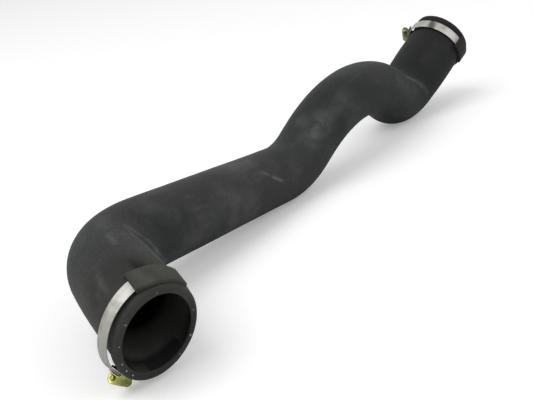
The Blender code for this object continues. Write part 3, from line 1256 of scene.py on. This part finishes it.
def seats_object(name: str, seats: Sequence[Seat]) -> Object:
    """Make a helper of loose points that carry the vectors "along" and "out".

    Args:
        name: the helper's name.
        seats: for each point its place in metres, and the two vectors.

    Returns:
        The helper.
    """
    mesh = bpy.data.meshes.new(name)
    mesh.from_pydata([tuple(seat[0]) for seat in seats], [], [])
    made = link(name, mesh)
    for index, key in ((1, "along"), (2, "out")):
        store(made, key, np.array([seat[index] for seat in seats]))
    return made


@dataclass(frozen=True)
class YarnEnds:
    """The reinforcement's yarn ends, frayed specks in the near cut face."""

    angles: tuple[float, ...] = (15, 43, 98, 178, 214, 241, 321, 335, 349)
    depth: float = 2.6
    jitter: float = 0.9
    thickness: float = 0.52
    tip: float = 0.36
    stand_out: float = 0.4
    sides: int = 7
    least: Place = (0.6, 0.5, 0.5)
    most: Place = (2.0, 1.2, 1.2)
    seed: int = 5

    def seats(self, skin: HoseSkin) -> list[Seat]:
        """Place the ends in the cut face, by their angles round the hose.

        Args:
            skin: the hose skin whose face they lie in.

        Returns:
            For each end its place and two directions.
        """
        route = skin.route
        turn = route.frame_at(0.0).to_3x3()
        radius = route.radius_at(0.0) - self.depth
        lean = skin.lean_at(0.0)
        short = around(route.sizes.trim_short)
        normal = (turn @ Vector((-1, lean * short.y, lean * short.z))).normalized()
        seats = []
        for angle in self.angles:
            off = noise.noise(Vector((angle, self.seed, 0))) * self.jitter
            place = skin.point(0.0, angle, radius + off)
            seats.append((place * MM, turn @ around(angle + 90), normal))
        return seats

    def build(self, skin: HoseSkin, bench: Bench, finish: Material) -> None:
        """Build the specks with Geometry Nodes.

        Args:
            skin: the hose skin whose face they lie in.
            bench: the bench to finish on.
            finish: the yarn's material.
        """
        recipe = NodeRecipe("near_clamp_yarn")
        thick = recipe.input("Thickness", "Float")
        length = recipe.input("Stand out", "Float")
        seed = recipe.input("Seed", "Int")
        material = recipe.input("Finish", "Material")
        cone = {
            "Vertices": self.sides,
            "Side Segments": 2,
            "Radius Bottom": thick,
            "Radius Top": self.tip * MM,
            "Depth": length,
        }
        tuft = recipe.add("GeometryNodeMeshCone", cone).outputs["Mesh"]
        draw = {0: self.least, 1: self.most, "Seed": seed}
        stretch = recipe.add("FunctionNodeRandomValue", draw, data_type="FLOAT_VECTOR")
        points = recipe.into.outputs["Geometry"]
        recipe.close(recipe.scatter(points, tuft, stretch.outputs[0]), material)
        made = seats_object("near_clamp_yarn_ends", self.seats(skin))
        values = {
            "Thickness": self.thickness * MM,
            "Stand out": self.stand_out * MM,
            "Seed": self.seed,
            "Finish": finish,
        }
        recipe.run(made, values)
        bench.finish(bench.bake(made), Slot.HOSE, Body.HOSE)


@dataclass(frozen=True)
class StripSizes:
    """The steel band and the embossed rungs that the worm drives.

    The band lifts over its own start between two angles past the screw, and leaves
    the loop at a third. tip_turns are the angles that round the tail's tip.
    """

    width: float = 9.0
    thickness: float = 0.7
    layer_gap: float = 0.2
    fixed_end: float = -8.0
    lift_from: float = 285.0
    lift_to: float = 346.0
    leave: float = 370.0
    tail: float = 18.0
    edge: float = 0.22
    step: float = 2.0
    tail_steps: int = 6
    tip_turns: tuple[int, ...] = (12, 24, 36, 48, 58, 67, 75, 81, 86)
    rung_margin: float = 4.0
    rung_pitch: float = 1.8
    rung_length: float = 4.6
    rung_width: float = 0.85
    rung_depth: float = 0.3
    rung_slant: float = 10.0
    rungs_from: float = 332.0


@dataclass(frozen=True)
class ScrewSizes:
    """The worm screw.

    over_band is the worm's height over the band, crest how square the thread is, and
    ramp the count of rings over which it rises and falls at its ends.
    """

    over_band: float = 0.4
    worm_radius: float = 2.8
    thread_depth: float = 0.45
    thread_end: float = 0.4
    crest: float = 2.2
    ramp: int = 6
    pitch: float = 1.8
    pilot_radius: float = 1.55
    pilot_length: float = 1.9
    collar_radius: float = 3.2
    collar: float = 0.8
    across_flats: float = 6.0
    head: float = 4.2
    slot_width: float = 1.0
    slot_depth: float = 1.3
    sides: int = 72
    rings_per_turn: int = 18


@dataclass(frozen=True)
class HousingSizes:
    """The pressed saddle over the screw."""

    sheet: float = 0.6
    length: float = 10.0
    over_worm: float = 0.3
    pilot_clearance: float = 0.35
    bend: float = 0.5
    lip: float = 0.12
    wall_inset: float = 0.05


@dataclass(frozen=True)
class StrapSizes:
    """The rubber strap bonded to the hose.

    shift is the angle from the point opposite the screw to the strap's middle, foot
    the fillet on the hose, end_turns how the sections close up at both ends, and fall
    the angle over which the top rounds off there.
    """

    half_arc: float
    shift: float
    width: float = 14.5
    cover: float = 1.5
    edge: float = 0.9
    foot: float = 0.5
    sink: float = 0.5
    wave: float = 0.12
    end_turns: tuple[float, ...] = (0.0, 0.25, 0.6, 1.2)
    fall: float = 1.6
    inset: float = 2.4
    step: float = 2.2


@dataclass(frozen=True)
class ClampSizes:
    """One clamp: its place on the hose, how its loop hangs, its painted shade and its
    band's stains.
    """

    end: End
    screw_body: Body
    station: float
    strap_at: float
    loop: float
    lean: float
    strap: StrapSizes
    strip: StripSizes = StripSizes()
    screw: ScrewSizes = ScrewSizes()
    housing: HousingSizes = HousingSizes()
    # Painted shade over the strap, housing and screw, for a clamp that lies in shade.
    darkening: float = 0.0
    stains: tuple[Mark, ...] = ()


class Clamp:
    """A worm-drive clamp. Z points out of the mouth and X at the strap."""

    def __init__(self, sizes: ClampSizes, route: Centreline) -> None:
        """Work out the clamp's frames.

        Args:
            sizes: the clamp's sizes.
            route: the hose's centreline.
        """
        self.sizes = sizes
        if sizes.end is End.NEAR:
            frame = route.frame_at(sizes.station)
            facing = Matrix(((0, 0, -1), (1, 0, 0), (0, -1, 0))).to_4x4()
            self.hose_radius = route.sizes.near_outer / 2
        else:
            frame = route.end @ Matrix.Translation((-sizes.station, 0, 0))
            facing = Matrix(((0, 0, 1), (1, 0, 0), (0, 1, 0))).to_4x4()
            self.hose_radius = route.sizes.far_outer / 2
        side = Matrix.Rotation(math.radians(sizes.strap_at), 4, "X")
        self.seat = frame @ side @ facing
        lean = math.radians(sizes.lean)
        rest = self.hose_radius + CLEARANCE
        centre = (rest - sizes.loop * math.cos(lean), 0, sizes.loop * math.sin(lean))
        tilt = Matrix.Rotation(lean, 4, "Y")
        self.loop_frame = Matrix.Translation(centre) @ tilt
        self.layers = 2 * sizes.strip.thickness + sizes.strip.layer_gap
        worm = sizes.screw.over_band + sizes.screw.worm_radius
        self.screw_height = self.layers + worm
        axes = Matrix(((0, -1, 0), (-1, 0, 0), (0, 0, -1))).to_4x4()
        at_screw = self.loop_frame @ Matrix.Translation((-sizes.loop, 0, 0))
        self.saddle = self.seat @ at_screw @ axes
        self.axis = self.saddle @ Matrix.Translation((0, self.screw_height, 0))

    def name(self, piece: str) -> str:
        """Name one of the clamp's pieces."""
        return f"{self.sizes.end.value}_{piece}"

    def on_loop(self, angle: float) -> tuple[Vector, Vector]:
        """Give the band's inside face and its direction at an angle past the screw.

        Args:
            angle: the angle in degrees.

        Returns:
            The place and the direction, in the loop's frame.
        """
        strip = self.sizes.strip
        lift = (angle - strip.lift_from) / (strip.lift_to - strip.lift_from)
        radius = self.sizes.loop + ease(lift) * (strip.thickness + strip.layer_gap)
        turn = math.radians(angle)
        place = Vector((-math.cos(turn), -math.sin(turn), 0)) * radius
        return place, Vector((math.sin(turn), -math.cos(turn), 0))

    def walk(
        self, angle: float, past: float = 0.0
    ) -> tuple[Vector, Vector, Vector, Vector]:
        """Follow the band.

        Args:
            angle: the angle past the screw.
            past: distance along the free end, past where it leaves the loop.

        Returns:
            The place on the inside face, the direction, the width's direction and
            the outward direction, in the clamp's frame.
        """
        place, tangent = self.on_loop(angle)
        across_hose = self.loop_frame.to_3x3().inverted() @ Vector((0, 0, 1))
        share = 0.0 if past else (1 - math.cos(math.radians(angle))) / 2
        across = Vector((0, 0, 1)).lerp(across_hose, share)
        across = (across - tangent * across.dot(tangent)).normalized()
        out = tangent.cross(across)
        turn = self.loop_frame.to_3x3()
        place = self.loop_frame @ (place + tangent * past)
        return place, turn @ tangent, turn @ across, turn @ out

    def band_outline(self, half: float) -> Outline:
        """Give the band's section with its slit edges rounded.

        Args:
            half: half its width.

        Returns:
            The points across and out.
        """
        strip = self.sizes.strip
        full = strip.thickness
        edge = min(strip.edge, half * 0.6)
        corners = ((-half, 0), (half, 0), (half, full), (-half, full))
        return rounded(corners, (edge,) * 4, 3)

    def band_steps(self) -> list[tuple[float, float, float]]:
        """Give each section's angle, distance past the loop and half width.

        Returns:
            The steps along the band, from its fixed end to its tip.
        """
        strip = self.sizes.strip
        full = strip.width / 2
        sweep = strip.leave - strip.fixed_end
        count = math.ceil(sweep / strip.step)
        turns = [strip.fixed_end + sweep * i / count for i in range(count + 1)]
        steps = [(turn, 0.0, full) for turn in turns]
        straight = strip.tail - full
        parts = strip.tail_steps
        steps += [(strip.leave, straight * (k + 1) / parts, full) for k in range(parts)]
        for turn in map(math.radians, strip.tip_turns):
            reach = straight + full * math.sin(turn)
            steps.append((strip.leave, reach, full * math.cos(turn)))
        return steps

    def rung_seats(self) -> list[Seat]:
        """Place the rungs from the tip of the free end back through the housing.

        Returns:
            For each rung its place and two directions.
        """
        strip = self.sizes.strip
        seats = []
        past = strip.tail - strip.rung_margin
        angle = strip.leave
        step = math.degrees(strip.rung_pitch / self.sizes.loop)
        slant = math.radians(strip.rung_slant)
        while angle > strip.rungs_from:
            place, along, across, out = self.walk(angle, max(0.0, past))
            place = place + out * strip.thickness
            turned = along * math.cos(slant) + across * math.sin(slant)
            where = self.seat @ place * MM
            turn = self.seat.to_3x3()
            seats.append((where, turn @ turned, turn @ out))
            if past > 0:
                past -= strip.rung_pitch
            else:
                angle -= step
        return seats

    def build_band(self, bench: Bench) -> None:
        """Build the band, then emboss its rungs with Geometry Nodes.

        Args:
            bench: the bench to finish it on.
        """
        strip = self.sizes.strip
        work = bmesh.new()
        sections, lengths, widths = [], [], []
        last = None
        for angle, past, half in self.band_steps():
            place, _, across, out = self.walk(angle, past)
            outline = self.band_outline(half)
            sections.append([place + across * w + out * h for w, h in outline])
            widths += [w for w, _ in outline]
            gone = 0.0 if last is None else (place - last).length
            lengths.append((lengths[-1] if lengths else 0.0) + gone)
            last = place
        skin_rows(work, sections, capped=True)
        made = bench.raw(self.name("band_strip"), work, self.seat)
        ring = len(sections[0])
        rows = [(lengths[i // ring], width, 0) for i, width in enumerate(widths)]
        store(made, "strip", np.array(rows) * MM)
        seats = seats_object(self.name("rung_seats"), self.rung_seats())
        recipe = NodeRecipe(self.name("rungs"))
        points = recipe.input("Seats", "Object")
        size = recipe.input("Rung", "Vector")
        material = recipe.input("Finish", "Material")
        source = recipe.add("GeometryNodeObjectInfo", {"Object": points})
        rung = recipe.add("GeometryNodeMeshCube", {"Size": size}).outputs["Mesh"]
        placed = recipe.scatter(source.outputs["Geometry"], rung)
        cutters = recipe.add("GeometryNodeRealizeInstances", {0: placed}).outputs[0]
        both = {"Mesh 1": recipe.into.outputs["Geometry"], "Mesh 2": cutters}
        pressed = recipe.add("GeometryNodeMeshBoolean", both, operation="DIFFERENCE")
        recipe.close(pressed.outputs["Mesh"], material)
        box = (strip.rung_width, strip.rung_length, 2 * strip.rung_depth)
        values = {
            "Seats": seats,
            "Rung": tuple(side * MM for side in box),
            "Finish": bench.materials[Slot.BAND],
        }
        recipe.run(made, values)
        bench.bake(made, seats)
        places = vertex_rows(made) / MM
        stain = sum(mark.weigh(places) for mark in self.sizes.stains)
        store(made, "shade", np.clip(stain, 0, 1))
        bench.finish(made, Slot.BAND, Body.HOSE, self.name("band"), 30)

    def arch(self, radius: float) -> Outline:
        """Give the points of the saddle's arch over the worm, from +Z to -Z.

        Args:
            radius: the arch's radius.

        Returns:
            Y and Z of the points.
        """
        turns = [math.pi * i / ARCH_STEPS for i in range(ARCH_STEPS + 1)]
        height = self.screw_height
        return [(height + radius * math.sin(t), radius * math.cos(t)) for t in turns]

    def saddle_outline(self, offset: float) -> Outline:
        """Give the saddle's section, at a distance out from its inside face.

        Args:
            offset: the distance in millimetres.

        Returns:
            Y and Z of the points.
        """
        sizes, housing = self.sizes, self.sizes.housing
        half = sizes.strip.width / 2 + CLEARANCE + offset
        drop = sizes.loop - math.sqrt(sizes.loop**2 - (housing.length / 2) ** 2)
        low = -(drop + CLEARANCE) - offset
        shoulder = self.layers + CLEARANCE + offset
        arch = sizes.screw.worm_radius + housing.over_worm + offset
        bend = housing.bend
        top = (self.screw_height, arch)
        points = ((low, half), (shoulder, half), (shoulder, arch), top)
        right = rounded(points, (0, bend, bend * 0.5, 0))
        left = [(y, -z) for y, z in reversed(right)]
        return right + self.arch(arch)[1:-1] + left

    def build_housing(self, bench: Bench) -> None:
        """Build the pressed saddle, with its end wall and the pilot's hole.

        Args:
            bench: the bench to finish it on.
        """
        housing, screw = self.sizes.housing, self.sizes.screw
        half = housing.length / 2
        inner, outer = self.saddle_outline(0), self.saddle_outline(housing.sheet)
        work = bmesh.new()
        count = len(outer)
        rows = [extrude(work, line, (-half, half), False) for line in (outer, inner)]
        for k in (0, 1):
            join_rows(work, rows[0][k], rows[1][k], closed=False)
        for i in (0, count - 1):
            work.faces.new((rows[0][0][i], rows[0][1][i], rows[1][1][i], rows[1][0][i]))
        made = bench.raw(self.name("housing_shell"), work, self.saddle)
        arch = screw.worm_radius + housing.over_worm
        sink = housing.sheet / 2
        low = self.layers + CLEARANCE + sink
        over = [(y, -z) for y, z in self.arch(arch + sink)]
        outline = [(low, -arch - sink), *over, (low, arch + sink)]
        x0, x1 = -half + housing.wall_inset, -half + housing.sheet
        plate = bmesh.new()
        extrude(plate, outline, (x0, x1))
        drill = bmesh.new()
        radius = screw.pilot_radius + housing.pilot_clearance
        centre = Vector((0, self.screw_height, 0))
        turns = [360 / HOLE_SIDES * i for i in range(HOLE_SIDES)]
        circle = [centre + around(turn, radius) for turn in turns]
        extrude(drill, [(p.y, p.z) for p in circle], (x0 - 1, x1 + 1))
        wall = bench.raw(self.name("wall"), plate, self.saddle)
        hole = bench.raw(self.name("hole"), drill, self.saddle)
        bench.carve(made, wall, "UNION")
        bench.carve(made, hole, "DIFFERENCE")
        soft = made.modifiers.new("lips", "BEVEL")
        soft.width = housing.lip * MM
        soft.segments = 2
        soft.limit_method = "ANGLE"
        soft.angle_limit = math.radians(50)
        bench.bake(made, wall, hole)
        # Painted shade over the whole piece.
        store(made, "shade", self.sizes.darkening)
        bench.finish(made, Slot.PLATED, Body.HOSE, self.name("housing"), 40)

    def screw_profile(self) -> list[tuple[float, float, float, float]]:
        """Give each ring's x, radius, share of thread and share of hexagon.

        Returns:
            The rings, from the pilot to the head.
        """
        screw, housing = self.sizes.screw, self.sizes.housing
        half = housing.length / 2
        start = -half + housing.sheet + CLEARANCE
        tip = start - screw.pilot_length
        end = half + CLEARANCE
        core = screw.worm_radius - screw.thread_depth
        rings = [
            (tip, 0.4, 0, 0),
            (tip, screw.pilot_radius - 0.3, 0, 0),
            (tip + 0.12, screw.pilot_radius - 0.1, 0, 0),
            (tip + 0.3, screw.pilot_radius, 0, 0),
            (start, screw.pilot_radius, 0, 0),
            (start, core, 0, 0),
        ]
        thread = end - start - 2 * screw.thread_end
        count = round(thread / screw.pitch * screw.rings_per_turn)
        for i in range(count + 1):
            x = start + screw.thread_end + thread * i / count
            share = min(1, i / screw.ramp, (count - i) / screw.ramp)
            rings.append((x, screw.worm_radius, share, 0))
        flat = screw.across_flats / 2
        head = end + screw.collar
        rings += [
            (end, core, 0, 0),
            (end, screw.collar_radius - 0.1, 0, 0),
            (end + 0.1, screw.collar_radius, 0, 0),
            (head - 0.15, screw.collar_radius, 0, 0),
            (head, screw.collar_radius - 0.12, 0, 0),
            (head + 0.05, flat, 0, 1),
            (head + screw.head - 0.75, flat, 0, 1),
            (head + screw.head - 0.5, flat, 0, 0.72),
            (head + screw.head - 0.2, flat - 0.1, 0, 0.3),
            (head + screw.head, flat - 0.4, 0, 0),
            (head + screw.head, 0.4, 0, 0),
        ]
        return rings

    def build_screw(self, bench: Bench) -> None:
        """Build the worm screw with its thread, hexagon head and slot.

        Args:
            bench: the bench to finish it on.
        """
        screw = self.sizes.screw
        sections = []
        for x, radius, threaded, hexagonal in self.screw_profile():
            ring = []
            for i in range(screw.sides):
                angle = 360 * i / screw.sides
                reach = radius
                if threaded > 0:
                    phase = 2 * math.pi * x / screw.pitch - math.radians(angle)
                    wave = math.tanh(screw.crest * math.cos(phase))
                    flank = 0.5 - 0.5 * wave / math.tanh(screw.crest)
                    reach -= screw.thread_depth * (1 - threaded * (1 - flank))
                if hexagonal > 0:
                    corner = 1 / math.cos(math.radians((angle + 30) % 60 - 30))
                    reach *= 1 + (corner - 1) * hexagonal
                ring.append(Vector((x, 0, 0)) + around(angle, reach))
            sections.append(ring)
        work = bmesh.new()
        skin_rows(work, sections, capped=True)
        made = bench.raw(self.name("worm_screw"), work, self.axis)
        top = self.screw_profile()[-1][0]
        slot = bmesh.new()
        bmesh.ops.create_cube(slot, size=1)
        deep, wide = screw.slot_depth, screw.across_flats * 2
        bmesh.ops.scale(slot, vec=(deep + 1, wide, screw.slot_width), verts=slot.verts)
        shift = Vector((top + (1 - deep) / 2, 0, 0))
        bmesh.ops.translate(slot, vec=shift, verts=slot.verts)
        cutter = bench.raw(self.name("slot_cutter"), slot, self.axis)
        bench.carve(made, cutter, "DIFFERENCE")
        bench.bake(made, cutter)
        # Painted shade over the whole piece.
        store(made, "shade", self.sizes.darkening)
        bench.finish(made, Slot.PLATED, self.sizes.screw_body, self.name("screw"), 38)

    def build_strap(self, bench: Bench) -> None:
        """Build the bonded strap, whose tunnel follows the band under it.

        Args:
            bench: the bench to finish it on.
        """
        sizes, strap, strip = self.sizes, self.sizes.strap, self.sizes.strip
        lean = math.radians(sizes.lean)
        fall = 1 - math.cos(math.radians(strap.half_arc + abs(strap.shift)))
        drift = sizes.loop * math.sin(lean) * fall
        reach = strip.width / 2 + CLEARANCE + abs(drift) / 2
        half = strap.width / 2
        foot = self.hose_radius - strap.sink
        inner = strap.half_arc - strap.inset
        count = round(2 * inner / strap.step)
        turns = [-strap.half_arc + t for t in strap.end_turns]
        turns += [-inner + 2 * inner * i / count for i in range(count + 1)]
        turns += [strap.half_arc - t for t in reversed(strap.end_turns)]
        sections = []
        for turn in turns:
            angle = math.radians(strap.shift + turn)
            ring = Vector((math.cos(angle), math.sin(angle), 0)) * sizes.loop
            place = self.loop_frame @ ring
            radial = Vector((place.x, place.y, 0))
            roof = radial.length + strip.thickness + CLEARANCE
            radial.normalize()
            inwards = strap.half_arc - abs(turn)
            drop = strap.edge * (1 - ease(inwards / strap.fall) ** 0.5)
            wave = strap.wave * noise.noise(Vector((turn * 0.09, sizes.station, 4)))
            top = roof + strap.cover - drop + wave
            edge = strap.edge
            fillet = (half + strap.foot * 0.4, foot + strap.sink + 0.5)
            corners = (
                (-half - strap.foot, foot),
                (-fillet[0], fillet[1]),
                (-half, top),
                (half, top),
                fillet,
                (half + strap.foot, foot),
                (reach, foot),
                (reach, roof),
                (-reach, roof),
                (-reach, foot),
            )
            outline = rounded(corners, (0, 0.3, edge, edge, 0.3, 0, 0, 0.3, 0.3, 0))
            middle = Vector((0, 0, drift / 2))
            section = [middle + radial * r + Vector((0, 0, z)) for z, r in outline]
            sections.append(section)
        work = bmesh.new()
        skin_rows(work, sections, capped=True)
        made = bench.raw(self.name("bonded_strap"), work, self.seat)
        dust_and_sheen = [noise.noise(vertex.co * 90) * 0.5 for vertex in made.data.vertices]
        store(made, "dust_and_sheen", np.maximum(dust_and_sheen, 0))
        # Painted shade over the whole piece.
        store(made, "shade", self.sizes.darkening)
        bench.finish(made, Slot.STRAP, Body.HOSE, self.name("strap"), 45)

    def build(self, bench: Bench) -> None:
        """Build every piece of the clamp.

        Args:
            bench: the bench to finish them on.
        """
        self.build_strap(bench)
        self.build_band(bench)
        self.build_housing(bench)
        self.build_screw(bench)


@dataclass(frozen=True)
class CameraView:
    """The photograph's view: place in metres, turn in degrees, lens in millimetres."""

    place: Place = (-0.62939, -0.36136, 0.29454)
    turn: Place = (67.927, 9.991, -61.818)
    lens: float = 60.585

    def build(self) -> None:
        """Add the camera and make it the scene's."""
        camera = bpy.data.cameras.new("view")
        camera.sensor_width = 36
        camera.lens = self.lens
        camera.clip_start = 0.01
        camera.clip_end = 60
        made = link("view", camera)
        made.location = self.place
        made.rotation_euler = Euler([math.radians(a) for a in self.turn])
        bpy.context.scene.camera = made


@dataclass(frozen=True)
class SoftLight:
    """A square studio lamp that points at the hose."""

    name: str
    place: Place
    size: float
    power: float

    def build(self) -> None:
        """Add the lamp."""
        lamp = bpy.data.lights.new(self.name, "AREA")
        lamp.size = self.size
        lamp.energy = self.power
        made = link(self.name, lamp)
        made.location = self.place
        made.rotation_euler = (-Vector(self.place)).to_track_quat("-Z", "Y").to_euler()


@dataclass(frozen=True)
class Studio:
    """A pale floor, an even white surround and soft lamps."""

    floor: float = 9.0
    floor_colour: float = 0.86
    floor_lift: float = 0.24
    surround: float = 0.58
    lamps: tuple[SoftLight, ...] = (
        SoftLight("key", (-0.9, 0.6, 2.0), 1.7, 22.0),
        SoftLight("fill", (0.2, -1.9, 1.2), 1.8, 11.0),
    )

    def build_world(self) -> None:
        """Make the surround: even grey light that shows white."""
        world = bpy.data.worlds.new("surround")
        world.use_nodes = True
        s = Tree(world.node_tree)
        white = (1, 1, 1, 1)
        light = s.tree.nodes["Background"]
        s.feed(light.inputs["Color"], white)
        s.feed(light.inputs["Strength"], self.surround)
        shown = s.add("ShaderNodeBackground", {"Color": white})
        path = s.add("ShaderNodeLightPath").outputs
        seen = {0: path["Is Camera Ray"], 1: path["Is Glossy Ray"]}
        seen = s.add("ShaderNodeMath", seen, operation="MAXIMUM")
        both = {0: seen.outputs[0], 1: light.outputs[0], 2: shown.outputs[0]}
        both = s.add("ShaderNodeMixShader", both)
        s.feed(s.tree.nodes["World Output"].inputs["Surface"], both.outputs[0])
        bpy.context.scene.world = world

    def build_floor(self) -> None:
        """Lay the floor. It shows a little paler than it is lit."""
        work = bmesh.new()
        bmesh.ops.create_grid(work, x_segments=1, y_segments=1, size=self.floor)
        mesh = bpy.data.meshes.new("floor")
        work.to_mesh(mesh)
        work.free()
        made = link("floor", mesh)
        s = Sketch("floor")
        s.tree.nodes.remove(s.shader)
        matte = {"Color": (*(self.floor_colour,) * 3, 1)}
        matte = s.add("ShaderNodeBsdfDiffuse", matte).outputs[0]
        seen = s.add("ShaderNodeLightPath").outputs["Is Camera Ray"]
        lift = {"Strength": s.times(seen, self.floor_lift)}
        lift = s.add("ShaderNodeEmission", lift).outputs[0]
        total = s.add("ShaderNodeAddShader", {0: matte, 1: lift}).outputs[0]
        s.feed(s.tree.nodes["Material Output"].inputs["Surface"], total)
        mesh.materials.append(s.material)

    def build(self) -> None:
        """Set the whole stage."""
        self.build_world()
        self.build_floor()
        for lamp in self.lamps:
            lamp.build()
        bpy.context.scene.view_settings.view_transform = "Standard"


CLAMPS = (
    ClampSizes(
        end=End.NEAR,
        screw_body=Body.NEAR_SCREW,
        station=20.0,
        strap_at=137.1,
        loop=33.0,
        lean=16.0,
        strap=StrapSizes(half_arc=33.0, shift=25.0),
    ),
    ClampSizes(
        end=End.FAR,
        screw_body=Body.FAR_SCREW,
        station=12.0,
        strap_at=-158.0,
        loop=29.9,
        lean=-3.0,
        strap=StrapSizes(half_arc=24.0, shift=-7.0),
        strip=StripSizes(tail=10.0),
        # The far clamp lies in shade: painted shade on its strap, housing and screw.
        darkening=0.62,
        stains=(Mark(((257.6, -41.6, 86.7), (256.8, -43.9, 85.8)), 6.5, 3.2),),
    ),
)


def corners(box: Sequence[Sequence[float]]) -> list[list[float]]:
    """Turn a box into plain lists of numbers."""
    return [[round(float(value), 5) for value in corner] for corner in box]


def make_materials() -> dict[Slot, Material]:
    """Make the finish of each slot.

    Returns:
        The materials by slot.
    """
    hose = RubberFinish(
        "charcoal_rubber",
        colour=(0.0275, 0.026, 0.027),
        cool=(0.022, 0.026, 0.026),
        bloom=(0.056, 0.059, 0.057),
    )
    strap = RubberFinish(
        "strap_rubber_dry",
        colour=(0.032, 0.032, 0.025),
        cool=(0.028, 0.029, 0.024),
        bloom=(0.058, 0.058, 0.048),
        seed=3,
    )
    band = StripFinish(
        "satin_strip", colour=(0.41, 0.405, 0.375), stain=(0.23, 0.225, 0.20)
    )
    plated = PlatedFinish(
        "yellow_zinc",
        yellow=(0.44, 0.44, 0.14),
        green=(0.20, 0.25, 0.06),
        pale=(0.82, 0.83, 0.58),
    )
    finishes = zip(Slot, (hose, strap, band, plated))
    return {slot: finish.build() for slot, finish in finishes}


def main() -> None:
    """Build the dressed hose, the stage and the camera."""
    logging.basicConfig(level=logging.INFO, format="%(message)s")
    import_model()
    CameraView().build()
    bench = Bench(make_materials())
    route = Centreline(HoseSizes())
    skin = HoseSkin(route)
    skin.build(bench)
    yarn = YarnFinish("pale_yarn", (0.42, 0.41, 0.37)).build()
    YarnEnds().build(skin, bench, yarn)
    for sizes in CLAMPS:
        Clamp(sizes, route).build(bench)
    Studio().build()


if __name__ == "__main__":
    main()
